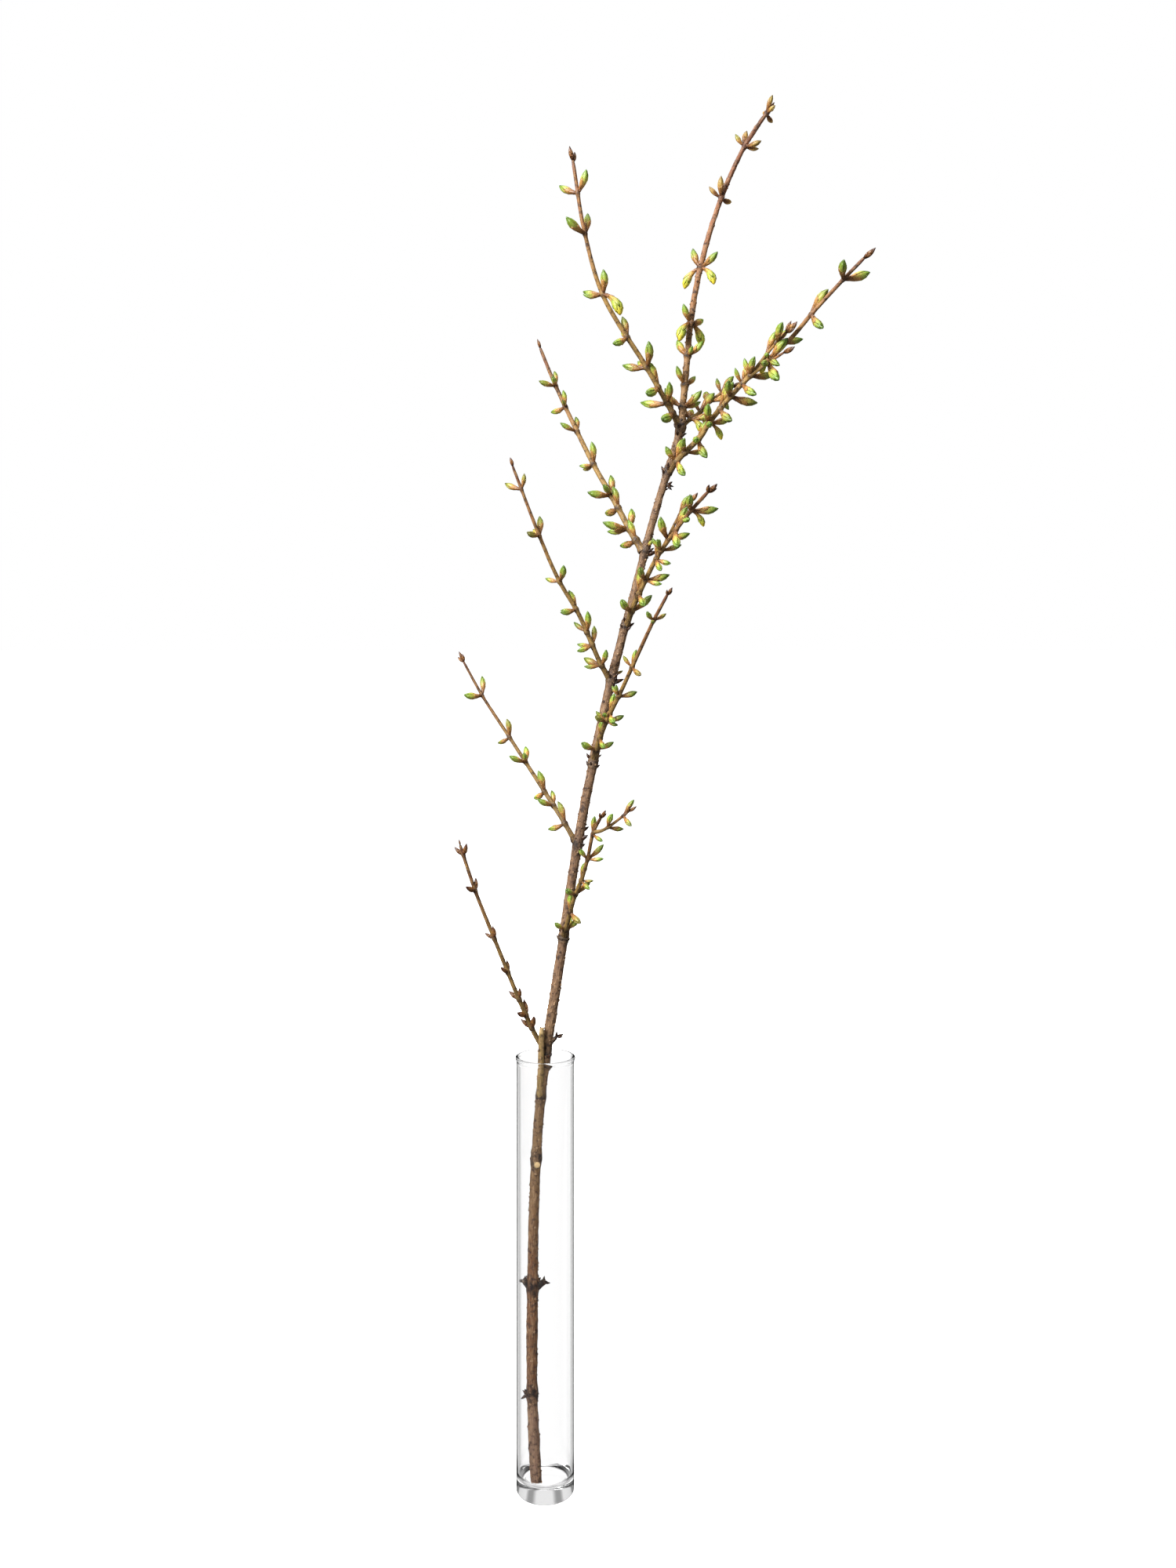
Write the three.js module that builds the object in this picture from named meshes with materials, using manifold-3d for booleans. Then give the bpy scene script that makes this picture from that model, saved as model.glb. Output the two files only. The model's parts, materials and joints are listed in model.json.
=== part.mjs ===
// Forsythia branch in bud, standing in a slim clear glass cylinder vase.
// Millimetres, +Z up. The origin is the middle of the vase's foot, -Y is the front,
// and the leader at the top of the stem leans towards +X.
import * as THREE from "three";
import { mergeVertices } from "three/addons/utils/BufferGeometryUtils.js";
import Module from "manifold-3d";

const wasm = await Module();
wasm.setup();

// Glass vase
const VASE_HEIGHT = 300;
const VASE_RADIUS = 20;
const VASE_WALL = 1.6;
const VASE_FLOOR = 10;
const VASE_FOOT_ROUND = 3;
const VASE_INNER_ROUND = 6;
const VASE_LIP_ROUND = 1.3;
const VASE_LIP_CENTRE = 19.45;
const VASE_LIP_SWEEP = 280;
const VASE_SIDES = 32;
const VASE_ARC_STEPS = 2;

// Sides of the round sections, and the room left between separate pieces
const STEM_SIDES = 8;
const TWIG_SIDES = 5;
const BUD_SIDES = 4;
const JOINT_GAP = 0.3;
const CLEARANCE = 0.5;
const MERGE_DISTANCE = 1e-4;

// Twig nodes: the girth there against the stretches between, and the shortest stretch that thins out
const KNOT_SWELL = 1.3;
const LONG_INTERNODE = 18;
const TIP_TAPER = 0.8;

// A bud's outline as pairs: share of its length, share of its half width
const BUD_FORM = [
  [0, 0.4],
  [0.6, 1],
  [0.84, 0.72],
  [1, 0],
];
const BUD_SLIMNESS = 0.275;
const HANGING_SLIMNESS = 0.26;
const HANGING_RISE = -15;
const HANGING_FALL = -80;

// Angles between twig and bud in degrees, where the bud leaves it and at the bud's tip
const LEAN_ABOVE = [36, 4];
const LEAN_BELOW = [88, 64];
const LEAN_JITTER = 22;
const UNDERSIDE = 0.5;
const SPREAD_LEAN = [85, 48];
const TIP_LEAN = [38, 14];
const LEADING_LEAN = [10, 2];
const TURN_JITTER = 26;
const SIZE_SPREAD = 0.34;
const SECOND_BUD_TURN = 46;
const SECOND_BUD_SIZE = 0.78;
const TIP_BUD_SIZE = 0.52;
const TIP_SIDE_BUD_SIZE = 0.42;
const BRANCHLET_GIRTH = [1.1, 0.85];

// Central axis from the cut foot to the topmost tip
const STEM_AXIS = [
  [-6, -8, 10.8],
  [-9, -1, 69],
  [-9, 4, 140],
  [-8, 7.5, 198],
  [-5, 11, 252],
  [0, 13.5, 298],
  [4, 14.5, 324],
  [12, 16.5, 376],
  [20, 18, 430],
  [30, 20, 485],
  [46, 23, 559],
  [63, 26, 623],
  [76, 28, 673],
  [86, 29, 706],
  [95, 30, 736],
  [97, 32, 756],
  [100, 34, 787],
  [102, 36, 808],
  [109, 40, 849],
  [124, 46, 900],
  [141, 52, 939],
  [161, 58, 971],
];

// Girth of the central axis as pairs: height, radius. Old nodes are the thick places.
const STEM_GIRTH = [
  [10.8, 3.6],
  [14, 3.8],
  [42, 3.9],
  [62, 3.6],
  [67, 4.2],
  [72, 4.1],
  [77, 3.6],
  [110, 4],
  [131, 3.8],
  [137, 4.6],
  [143, 4.6],
  [149, 3.7],
  [198, 3.6],
  [220, 3.5],
  [225, 4.1],
  [230, 4],
  [235, 3.4],
  [261, 3.4],
  [269, 3.9],
  [276, 3.5],
  [290, 3.6],
  [299, 4],
  [308, 3.7],
  [345, 3.6],
  [373, 3.4],
  [378, 4],
  [383, 3.5],
  [430, 3.3],
  [444, 3.8],
  [452, 3.3],
  [495, 3.2],
  [500, 3.7],
  [505, 3.2],
  [552, 3.1],
  [559, 4],
  [566, 3.1],
  [592, 3],
  [597, 3.4],
  [603, 2.9],
  [641, 2.7],
  [649, 3.8],
  [657, 2.7],
  [699, 2.6],
  [705, 3.4],
  [712, 2.5],
  [729, 2.8],
  [737, 4.1],
  [745, 2.6],
];

// Leader: the last year's growth on top of the stem, in bud like the side twigs
const LEADER = {
  from: 737,
  girth: [2.4, 1.5],
  nodes: [14, 30, 51, 75, 116, 170, 213, 244],
  firstTurn: 40,
  budLength: [19.5, 12],
  second: 0.3,
  hang: [[3, 0], [3, 1], [4, 0], [4, 1]],
  hangSize: 1.4,
  droop: 1,
  tipBuds: 3,
};

// Broken stubs and cut scars on the stem: from the axis to the end, with the radius at each
const STEM_STUBS = [
  { from: [-9, 4, 137], to: [-15.5, 3, 145], radius: [2.7, 2] },
  { from: [-9, 4, 137], to: [0, 3, 144], radius: [2.8, 2] },
  { from: [-9, -1, 67], to: [-14, -2, 68.5], radius: [2.8, 2] },
  { from: [-6.5, 9, 222], to: [-5.6, 4.2, 223.5], radius: [2.9, 2.4] },
  { from: [-4, 11, 266], to: [-2.6, 7.5, 317], radius: [2.6, 2] },
  { from: [1, 13.5, 303], to: [8.5, 12.5, 311], radius: [1.9, 1.1] },
  { from: [84, 29, 696], to: [87.5, 27, 695], radius: [1.8, 1.4] },
];

// Buds and withered bud bases on the old stem: height, turn about the axis, length
const STEM_BUDS = [
  [67, 170, 7],
  [140, 165, 8],
  [142, 195, 7],
  [141, 10, 8],
  [138, 340, 8],
  [305, 350, 8],
  [692, 20, 5],
  [704, 180, 6],
  [731, 350, 6],
  [733, 185, 7],
  [738, 95, 6],
  [736, 40, 7],
  [740, 215, 7],
  [307, 200, 11],
  [379, 170, 8],
  [441, 10, 10],
  [446, 35, 9],
  [452, 330, 8],
  [444, 190, 7],
  [501, 15, 9],
  [556, 5, 10],
  [562, 330, 9],
  [560, 100, 8],
  [597, 160, 9],
  [646, 15, 10],
  [652, 60, 9],
  [648, 215, 8],
];

// Side twigs from the lowest up: the axis starts inside the stem, and nodes are distances along it.
// firstTurn is the first bud pair's turn about the twig, 0 to the sides and 90 to the front.
// second is the share of buds with another beside them.
// hang lists the pair and side of each hanging bud.
// hangSize is a hanging bud's length against the others at its node.
// droop is how far the buds below the twig spread, from 0, as those above it, to 1.
const TWIGS = [
  {
    name: "left_twig_1",
    axis: [[0, 13.5, 299], [-7, 11, 311], [-18, 5, 337], [-35, -2, 381], [-48, -6, 415], [-58, -8, 446]],
    girth: [1.75, 1.15],
    nodes: [21, 31, 44, 65, 91, 127, 153],
    firstTurn: 35,
    budLength: [10.5, 8.5],
    second: 0.1,
    hang: [],
    hangSize: 1,
    droop: 0.6,
    tipBuds: 1,
  },
  {
    name: "left_twig_2",
    axis: [[22, 18, 442], [14, 20, 456], [-2, 28, 480], [-26, 36, 516], [-46, 40, 546], [-60, 42, 571]],
    girth: [1.8, 0.9],
    nodes: [18, 33, 45, 70, 91, 127],
    firstTurn: 38,
    budLength: [16, 14.5],
    second: 0.2,
    hang: [],
    hangSize: 1,
    droop: 1,
    tipBuds: 3,
  },
  {
    name: "left_twig_3",
    axis: [[45, 23, 558], [38, 18, 570], [23, 10, 604], [9, 3, 628], [-4, -4, 658], [-22, -10, 705]],
    girth: [1.8, 0.95],
    nodes: [13, 29, 39, 57, 80, 115, 149],
    firstTurn: 45,
    budLength: [17, 12.5],
    second: 0.2,
    hang: [],
    hangSize: 1,
    droop: 1,
    tipBuds: 1,
  },
  {
    name: "left_twig_4",
    axis: [[68, 27, 649], [60, 30, 662], [48, 36, 685], [33, 42, 712], [6, 50, 769], [-5, 52, 796]],
    girth: [2.3, 1.2],
    nodes: [9, 19, 36, 47, 73, 100, 120, 137],
    firstTurn: 50,
    budLength: [19, 14],
    second: 0.22,
    hang: [],
    hangSize: 1,
    droop: 1,
    tipBuds: 1,
  },
  {
    name: "left_twig_5",
    axis: [[94, 30, 738], [85, 25, 753], [71, 18, 776], [40, 8, 825], [27, 2, 868], [19, -2, 916]],
    girth: [1.9, 1.2],
    nodes: [10, 18, 31, 47, 72, 106, 149, 177],
    firstTurn: 130,
    budLength: [19.5, 19.5],
    second: 0.25,
    hang: [[5, 1]],
    hangSize: 1.35,
    droop: 1,
    tipBuds: 2,
  },
  {
    name: "right_twig_1",
    axis: [[12, 16.5, 378], [15, 4, 390], [20, -8, 410], [25, -18, 424], [29, -27, 439], [33, -38, 459],
      [38, -46, 470]],
    girth: [1.7, 1.1],
    nodes: [11, 29, 45, 59, 78, 99],
    firstTurn: 330,
    budLength: [13.5, 13.5],
    second: 0.2,
    hang: [],
    hangSize: 1,
    droop: 1,
    tipBuds: 3,
    branchlets: [
      {
        axis: [[33, -38, 459], [39, -44, 461], [47, -50, 467], [56, -56, 475]],
        nodes: [14, 29],
        hang: [],
        tipBuds: 2,
      },
    ],
  },
  {
    name: "right_twig_2",
    axis: [[33, 21, 501], [37, 8, 516], [43, -6, 533], [50, -18, 548], [59, -34, 569], [72, -56, 599],
      [81, -68, 617]],
    girth: [1.8, 1.05],
    nodes: [12, 23, 40, 47, 64, 91, 132],
    firstTurn: 330,
    budLength: [16, 11],
    second: 0.25,
    hang: [],
    hangSize: 1,
    droop: 1,
    tipBuds: 3,
  },
  {
    name: "right_twig_3",
    axis: [[56, 25, 595], [61, 13, 609], [66, 2, 621], [76, -14, 642], [88, -32, 660], [98, -46, 673],
      [108, -58, 684]],
    girth: [1.9, 1.2],
    nodes: [15, 32, 45, 64, 72, 93, 113],
    firstTurn: 330,
    budLength: [17, 17],
    second: 0.25,
    hang: [[6, 1]],
    hangSize: 1,
    droop: 1,
    tipBuds: 3,
    branchlets: [
      {
        axis: [[76, -14, 642], [83, -22, 655], [91, -30, 671], [97, -36, 679]],
        nodes: [17, 36],
        hang: [],
        tipBuds: 2,
      },
    ],
  },
  {
    name: "right_twig_4",
    axis: [[86, 29, 704], [93, 20, 713], [108, 6, 728], [113, 0, 736], [128, -14, 754], [139, -22, 765],
      [164, -40, 787], [177, -50, 802], [196, -64, 822], [207, -72, 833]],
    girth: [2.1, 1.15],
    nodes: [12, 22, 36, 51, 64, 76, 88, 96, 155, 186],
    firstTurn: 45,
    budLength: [17.5, 20],
    second: 0.3,
    hang: [[0, 0], [3, 0]],
    hangSize: 1,
    droop: 1,
    tipBuds: 1,
    branchlets: [
      {
        axis: [[139, -22, 765], [149, -32, 778], [161, -44, 791]],
        nodes: [19, 31],
        hang: [[0, 1]],
        tipBuds: 3,
      },
      {
        axis: [[139, -22, 765], [150, -34, 772], [159, -44, 777]],
        nodes: [18],
        hang: [],
        tipBuds: 1,
      },
    ],
  },
  {
    name: "right_twig_5",
    axis: [[94, 30, 735], [102, 36, 743], [110, 42, 749], [117, 48, 757], [126, 53, 764], [134, 58, 769]],
    girth: [1.5, 1.1],
    nodes: [13, 24, 37, 49],
    firstTurn: 60,
    budLength: [18.5, 17],
    second: 0.25,
    hang: [[0, 0]],
    hangSize: 1,
    droop: 1,
    tipBuds: 2,
  },
];

const FRONT = new THREE.Vector3(0, -1, 0);
const UP = new THREE.Vector3(0, 0, 1);

const GLASS = new THREE.MeshStandardMaterial({
  color: 0xe8efee,
  roughness: 0.05,
  metalness: 0,
  transparent: true,
  opacity: 0.35,
});
const STEM_BARK = new THREE.MeshStandardMaterial({ color: 0x6e5644, roughness: 0.85, metalness: 0 });
const TWIG_BARK = new THREE.MeshStandardMaterial({ color: 0x8a7a34, roughness: 0.75, metalness: 0 });

// Repeatable random numbers from 0 to 1
function seededRandom(seed) {
  let state = seed;
  return () => {
    state = (Math.imul(state, 1664525) + 1013904223) >>> 0;
    return state / 2 ** 32;
  };
}

const toVector = ([x, y, z]) => new THREE.Vector3(x, y, z);

// The closed surface of a geometry as a solid, with shared corners merged and flat slivers dropped
function solid(geometry) {
  geometry.deleteAttribute("normal");
  geometry.deleteAttribute("uv");
  const merged = mergeVertices(geometry, MERGE_DISTANCE);
  const corners = merged.index.array;
  const kept = [];
  for (let i = 0; i < corners.length; i += 3) {
    const [a, b, c] = corners.slice(i, i + 3);
    if (a !== b && b !== c && c !== a) {
      kept.push(a, b, c);
    }
  }
  const mesh = new wasm.Mesh({
    numProp: 3,
    vertProperties: new Float32Array(merged.getAttribute("position").array),
    triVerts: new Uint32Array(kept),
  });
  return new wasm.Manifold(mesh);
}

function namedMesh(name, shape, material) {
  const { vertProperties, triVerts } = shape.getMesh();
  const geometry = new THREE.BufferGeometry();
  geometry.setAttribute("position", new THREE.BufferAttribute(new Float32Array(vertProperties), 3));
  geometry.setIndex(new THREE.BufferAttribute(new Uint32Array(triVerts), 1));
  geometry.computeVertexNormals();
  const mesh = new THREE.Mesh(geometry, material);
  mesh.name = name;
  return mesh;
}

// Axes across a curve: one to the side and one towards the facing direction
function crossAxes(tangent, facing) {
  const side = new THREE.Vector3().crossVectors(tangent, facing).normalize();
  const ahead = new THREE.Vector3().crossVectors(side, tangent);
  return { side, ahead };
}

// A round rod along a curve, closed at both ends. Girths are pairs: distance along, radius.
function rod(curve, girths, sides, facing) {
  const length = curve.getLength();
  const profile = girths.map(([along, radius]) => new THREE.Vector2(radius, along));
  profile.unshift(new THREE.Vector2(0, girths[0][0]));
  profile.push(new THREE.Vector2(0, girths.at(-1)[0]));
  const geometry = new THREE.LatheGeometry(profile, sides);
  const place = geometry.getAttribute("position");
  for (let i = 0; i < place.count; i += 1) {
    const share = THREE.MathUtils.clamp(place.getY(i) / length, 0, 1);
    const { side, ahead } = crossAxes(curve.getTangentAt(share), facing);
    const point = curve.getPointAt(share);
    point.addScaledVector(side, place.getX(i));
    point.addScaledVector(ahead, place.getZ(i));
    place.setXYZ(i, point.x, point.y, point.z);
  }
  return solid(geometry);
}

// Room already taken, as short round-ended rods, so that no bud crosses another piece
const taken = [];

function takeRoom(owner, curve, radiusAt, steps) {
  for (let i = 0; i < steps; i += 1) {
    const start = curve.getPointAt(i / steps);
    const end = curve.getPointAt((i + 1) / steps);
    const radius = Math.max(radiusAt(i / steps), radiusAt((i + 1) / steps));
    taken.push({ owner, line: new THREE.Line3(start, end), radius });
  }
}

const BUD_ROOM_STEPS = 4;
const BUD_ROOM_START = 0.4;

function hasRoom(owner, curve, halfWidth) {
  const nearest = new THREE.Vector3();
  for (let i = 0; i <= BUD_ROOM_STEPS; i += 1) {
    const point = curve.getPointAt(THREE.MathUtils.lerp(BUD_ROOM_START, 1, i / BUD_ROOM_STEPS));
    for (const { owner: other, line, radius } of taken) {
      if (other !== owner) {
        line.closestPointToPoint(point, true, nearest);
        if (nearest.distanceTo(point) < radius + halfWidth + CLEARANCE) {
          return false;
        }
      }
    }
  }
  return true;
}

function heading(along, out, degrees) {
  const angle = THREE.MathUtils.degToRad(degrees);
  return along.clone().multiplyScalar(Math.cos(angle)).addScaledVector(out, Math.sin(angle));
}

// A bud's middle line: it leaves the twig steeply and bends to follow it
function risingLine(root, along, out, length, [leave, arrive]) {
  const knee = root.clone().addScaledVector(heading(along, out, leave), length / 2);
  const tip = knee.clone().addScaledVector(heading(along, out, arrive), length / 2);
  return new THREE.QuadraticBezierCurve3(root, knee, tip);
}

// Buds on the upper side stand up along the twig, and those below spread further
function leanOf(out, sway, droop) {
  const below = THREE.MathUtils.clamp((1 - out.z / UNDERSIDE) / 2, 0, 1) * droop;
  return [0, 1].map((end) => THREE.MathUtils.lerp(LEAN_ABOVE[end], LEAN_BELOW[end], below) + sway);
}

// A hanging bud's middle line: level out of the twig, then down
function hangingLine(root, out, length) {
  const level = new THREE.Vector3(out.x, out.y, 0).normalize();
  const knee = root.clone().addScaledVector(heading(level, UP, HANGING_RISE), length / 2);
  const tip = knee.clone().addScaledVector(heading(level, UP, HANGING_FALL), length / 2);
  return new THREE.QuadraticBezierCurve3(root, knee, tip);
}

// The bud solid on its middle line, or nothing where another piece is in the way
function bud(owner, line, length, slimness = BUD_SLIMNESS) {
  const halfWidth = (length * slimness) / 2;
  if (!hasRoom(owner, line, halfWidth)) {
    return [];
  }
  takeRoom(owner, line, () => halfWidth, 2);
  const reach = line.getLength();
  const girths = BUD_FORM.map(([share, width]) => [share * reach, width * halfWidth]);
  const facing = new THREE.Vector3().crossVectors(line.getTangentAt(0), line.getTangentAt(1)).normalize();
  return [rod(line, girths, BUD_SIDES, facing)];
}

// Point, direction and outward direction at a distance along a twig
function spot(curve, distance, turn) {
  const share = THREE.MathUtils.clamp(distance / curve.getLength(), 0, 1);
  const along = curve.getTangentAt(share);
  const { side, ahead } = crossAxes(along, FRONT);
  return { root: curve.getPointAt(share), along, out: heading(side, ahead, turn) };
}

// Opposite buds at every node, each pair turned a quarter from the one below
function pairedBuds(owner, curve, growth, start, random) {
  const solids = [];
  const last = growth.nodes.at(-1);
  growth.nodes.forEach((node, pair) => {
    for (const side of [0, 1]) {
      const turn = growth.firstTurn + 90 * pair + 180 * side + (random() - 0.5) * TURN_JITTER;
      const size = THREE.MathUtils.lerp(growth.budLength[0], growth.budLength[1], node / last);
      const length = size * (1 + (random() - 0.5) * SIZE_SPREAD);
      const hasSecond = random() < growth.second;
      const secondTurn = turn + (random() < 0.5 ? SECOND_BUD_TURN : -SECOND_BUD_TURN);
      const sway = (random() - 0.5) * LEAN_JITTER;
      const { root, along, out } = spot(curve, start + node, turn);
      const lean = leanOf(out, sway, growth.droop);
      solids.push(...bud(owner, risingLine(root, along, out, length, lean), length));
      if (growth.hang.some(([hangPair, hangSide]) => hangPair === pair && hangSide === side)) {
        const hanging = size * growth.hangSize;
        solids.push(...bud(owner, hangingLine(root, out, hanging), hanging, HANGING_SLIMNESS));
      } else if (hasSecond) {
        const second = spot(curve, start + node, secondTurn);
        const smaller = length * SECOND_BUD_SIZE;
        const line = risingLine(second.root, second.along, second.out, smaller, SPREAD_LEAN);
        solids.push(...bud(owner, line, smaller));
      }
    }
  });
  return solids;
}

// A bud that carries the twig on, with one or two smaller ones at its foot
function tipBuds(owner, curve, growth) {
  const solids = [];
  const end = curve.getLength();
  const length = growth.budLength[1] * TIP_BUD_SIZE;
  const tip = spot(curve, end, growth.firstTurn);
  solids.push(...bud(owner, risingLine(tip.root, tip.along, tip.out, length, LEADING_LEAN), length));
  for (let i = 1; i < growth.tipBuds; i += 1) {
    const { root, along, out } = spot(curve, end - 1, growth.firstTurn + 180 * i);
    const sideLength = growth.budLength[1] * TIP_SIDE_BUD_SIZE;
    solids.push(...bud(owner, risingLine(root, along, out, sideLength, TIP_LEAN), sideLength));
  }
  return solids;
}

function twigGirths(length, [thick, thin], nodes, start) {
  const girthAt = (along) => THREE.MathUtils.lerp(thick, thin, along / length);
  const girths = [];
  let below = 0;
  for (const node of nodes) {
    if (node - below > LONG_INTERNODE) {
      const middle = (node + below) / 2;
      girths.push([start + middle, girthAt(middle)]);
    }
    girths.push([start + node, girthAt(node) * KNOT_SWELL]);
    below = node;
  }
  girths.push([start + length, thin * TIP_TAPER]);
  return girths;
}

const curveThrough = (points) => new THREE.CatmullRomCurve3(points.map(toVector));

// Distance along a rising curve at which it reaches a height
function distanceAtHeight(curve, height) {
  let low = 0;
  let high = 1;
  for (let i = 0; i < 30; i += 1) {
    const middle = (low + high) / 2;
    if (curve.getPointAt(middle).z < height) {
      low = middle;
    } else {
      high = middle;
    }
  }
  return low * curve.getLength();
}

function vaseSolid() {
  const inner = VASE_RADIUS - VASE_WALL;
  const lipStart = THREE.MathUtils.degToRad(90 - VASE_LIP_SWEEP / 2);
  const lipEnd = THREE.MathUtils.degToRad(90 + VASE_LIP_SWEEP / 2);
  const outline = new THREE.Path();
  outline.moveTo(0, 0);
  outline.lineTo(VASE_RADIUS - VASE_FOOT_ROUND, 0);
  outline.absarc(VASE_RADIUS - VASE_FOOT_ROUND, VASE_FOOT_ROUND, VASE_FOOT_ROUND, -Math.PI / 2, 0, false);
  outline.lineTo(VASE_RADIUS, VASE_HEIGHT - 4 * VASE_LIP_ROUND);
  outline.absarc(VASE_LIP_CENTRE, VASE_HEIGHT - VASE_LIP_ROUND, VASE_LIP_ROUND, lipStart, lipEnd, false);
  outline.lineTo(inner, VASE_HEIGHT - 4 * VASE_LIP_ROUND);
  outline.lineTo(inner, VASE_FLOOR + VASE_INNER_ROUND);
  outline.absarc(
    inner - VASE_INNER_ROUND,
    VASE_FLOOR + VASE_INNER_ROUND,
    VASE_INNER_ROUND,
    0,
    -Math.PI / 2,
    true,
  );
  outline.lineTo(0, VASE_FLOOR);
  const geometry = new THREE.LatheGeometry(outline.getPoints(VASE_ARC_STEPS), VASE_SIDES);
  geometry.rotateX(Math.PI / 2);
  return solid(geometry);
}

const stemCurve = curveThrough(STEM_AXIS);
const leaderStart = distanceAtHeight(stemCurve, LEADER.from);
const leaderLength = stemCurve.getLength() - leaderStart;

// Girths of the whole central axis, old stem then leader, with extra all round
function stemGirths(extra) {
  const girths = STEM_GIRTH.map(([height, radius]) => [distanceAtHeight(stemCurve, height), radius]);
  girths.push(...twigGirths(leaderLength, LEADER.girth, LEADER.nodes, leaderStart));
  return girths.map(([along, radius]) => [along, radius + extra]);
}

function stub({ from, to, radius: [thick, thin] }) {
  const line = new THREE.LineCurve3(toVector(from), toVector(to));
  const length = line.getLength();
  const facing = Math.abs(line.getTangentAt(0).y) > 0.7 ? UP : FRONT;
  const girths = [[0, thick], [length * 0.85, thin], [length, thin * 0.7]];
  return rod(line, girths, TWIG_SIDES, facing);
}

function stemSolid() {
  const random = seededRandom(2);
  let shape = rod(stemCurve, stemGirths(0), STEM_SIDES, FRONT);
  const grown = STEM_STUBS.map(stub);
  for (const [height, turn, length] of STEM_BUDS) {
    const { root, along, out } = spot(stemCurve, distanceAtHeight(stemCurve, height), turn);
    grown.push(...bud("main_stem", risingLine(root, along, out, length, leanOf(out, 0, 1)), length));
  }
  grown.push(...pairedBuds("main_stem", stemCurve, LEADER, leaderStart, random));
  grown.push(...tipBuds("main_stem", stemCurve, LEADER));
  for (const piece of grown) {
    shape = shape.add(piece);
  }
  return shape;
}

// The twig and its branchlets as growths, each with its own curve
function growthsOf(twig) {
  const side = (branchlet) => ({ ...twig, girth: BRANCHLET_GIRTH, ...branchlet });
  const growths = [twig, ...(twig.branchlets ?? []).map(side)];
  return growths.map((growth) => ({ growth, curve: curveThrough(growth.axis) }));
}

function twigSolid(twig, order) {
  const random = seededRandom(1000 * (order + 1));
  const pieces = [];
  for (const { growth, curve } of growthsOf(twig)) {
    const length = curve.getLength();
    const girths = [[0, growth.girth[0]], ...twigGirths(length, growth.girth, growth.nodes, 0)];
    pieces.push(rod(curve, girths, TWIG_SIDES, FRONT));
    pieces.push(...pairedBuds(twig.name, curve, growth, 0, random));
    pieces.push(...tipBuds(twig.name, curve, growth));
  }
  const whole = pieces.reduce((shape, piece) => shape.add(piece));
  return whole.subtract(rod(stemCurve, stemGirths(JOINT_GAP), STEM_SIDES, FRONT));
}

takeRoom("main_stem", stemCurve, (share) => THREE.MathUtils.lerp(4.2, 1.2, share), 80);
for (const twig of TWIGS) {
  for (const { growth, curve } of growthsOf(twig)) {
    takeRoom(twig.name, curve, (share) => growth.girth[0] * KNOT_SWELL * (1 - share * 0.3), 16);
  }
}

const branch = new THREE.Group();
branch.add(namedMesh("vase", vaseSolid(), GLASS));
branch.add(namedMesh("main_stem", stemSolid(), STEM_BARK));
TWIGS.forEach((twig, order) => {
  branch.add(namedMesh(twig.name, twigSolid(twig, order), TWIG_BARK));
});

export default branch;
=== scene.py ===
import json
import math

import bmesh
import bpy
import numpy as np
from mathutils import Matrix, Vector
from mathutils.bvhtree import BVHTree

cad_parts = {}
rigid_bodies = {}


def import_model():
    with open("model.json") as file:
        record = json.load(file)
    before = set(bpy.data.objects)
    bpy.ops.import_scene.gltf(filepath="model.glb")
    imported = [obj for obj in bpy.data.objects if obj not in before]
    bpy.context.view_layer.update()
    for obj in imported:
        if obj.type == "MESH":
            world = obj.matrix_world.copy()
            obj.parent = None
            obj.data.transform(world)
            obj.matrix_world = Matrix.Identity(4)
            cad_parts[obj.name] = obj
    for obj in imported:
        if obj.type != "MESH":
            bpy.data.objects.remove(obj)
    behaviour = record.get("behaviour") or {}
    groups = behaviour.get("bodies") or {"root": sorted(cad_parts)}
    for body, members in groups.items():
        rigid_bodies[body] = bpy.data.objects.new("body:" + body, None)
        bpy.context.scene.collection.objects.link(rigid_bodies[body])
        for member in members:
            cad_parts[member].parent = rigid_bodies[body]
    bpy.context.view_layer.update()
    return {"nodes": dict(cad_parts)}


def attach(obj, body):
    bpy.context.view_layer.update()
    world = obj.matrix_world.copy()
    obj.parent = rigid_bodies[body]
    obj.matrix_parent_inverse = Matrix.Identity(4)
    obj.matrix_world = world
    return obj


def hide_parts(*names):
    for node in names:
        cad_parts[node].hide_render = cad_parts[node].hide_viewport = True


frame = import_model()

# Lengths below are millimetres, as on the drawing. MM turns them into the scene's metres.
MM = 0.001

# Photograph's frame and the camera fitted to the vase's rim and foot
PHOTO_HEIGHT_PX = 2000
FOCAL_PX = 2037
HORIZON_PX = 791
CAMERA_PLACE = (29.4, -1100, 600)
SENSOR = 36

# Studio: floor in metres, and the grey levels that rays find around the object
FLOOR_REACH = 30
FLOOR_GAP = 0.0003
STUDIO_BANDS = 8
STUDIO_WHITE = (1, 1, 1)
STUDIO_LIGHT = (0.42, 0.42, 0.42)
STUDIO_GREY = (0.46, 0.46, 0.46)
STUDIO_DARK = (0.06, 0.06, 0.06)
STUDIO_BACK = (1.16, 1.16, 1.16)
STUDIO_INSIDE = (0.75, 0.75, 0.75)
KEY_DIRECTION = (-0.62, -0.66, 0.42)
KEY_LIGHT = (3.2, 3.2, 3.2)

# Softboxes in metres and watts: place, aim, size, power
KEY_SOFTBOX = ((-1.1, -1.2, 1.6), (0.05, 0, 0.55), 0.9, 105)
TOP_SOFTBOX = ((-0.3, 0.1, 2.3), (0.05, 0, 0.3), 1.6, 26)
BACK_SOFTBOX = ((1.1, 1.5, 1.0), (0.05, 0, 0.55), 0.9, 65)

# Bark: sides of its section, ridge height, lenticels to a square metre, lenticel radius
STEM_BARK_FORM = (20, 0.8, 110000, 0.72)
TWIG_BARK_FORM = (12, 0.2, 30000, 0.3)

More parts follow.
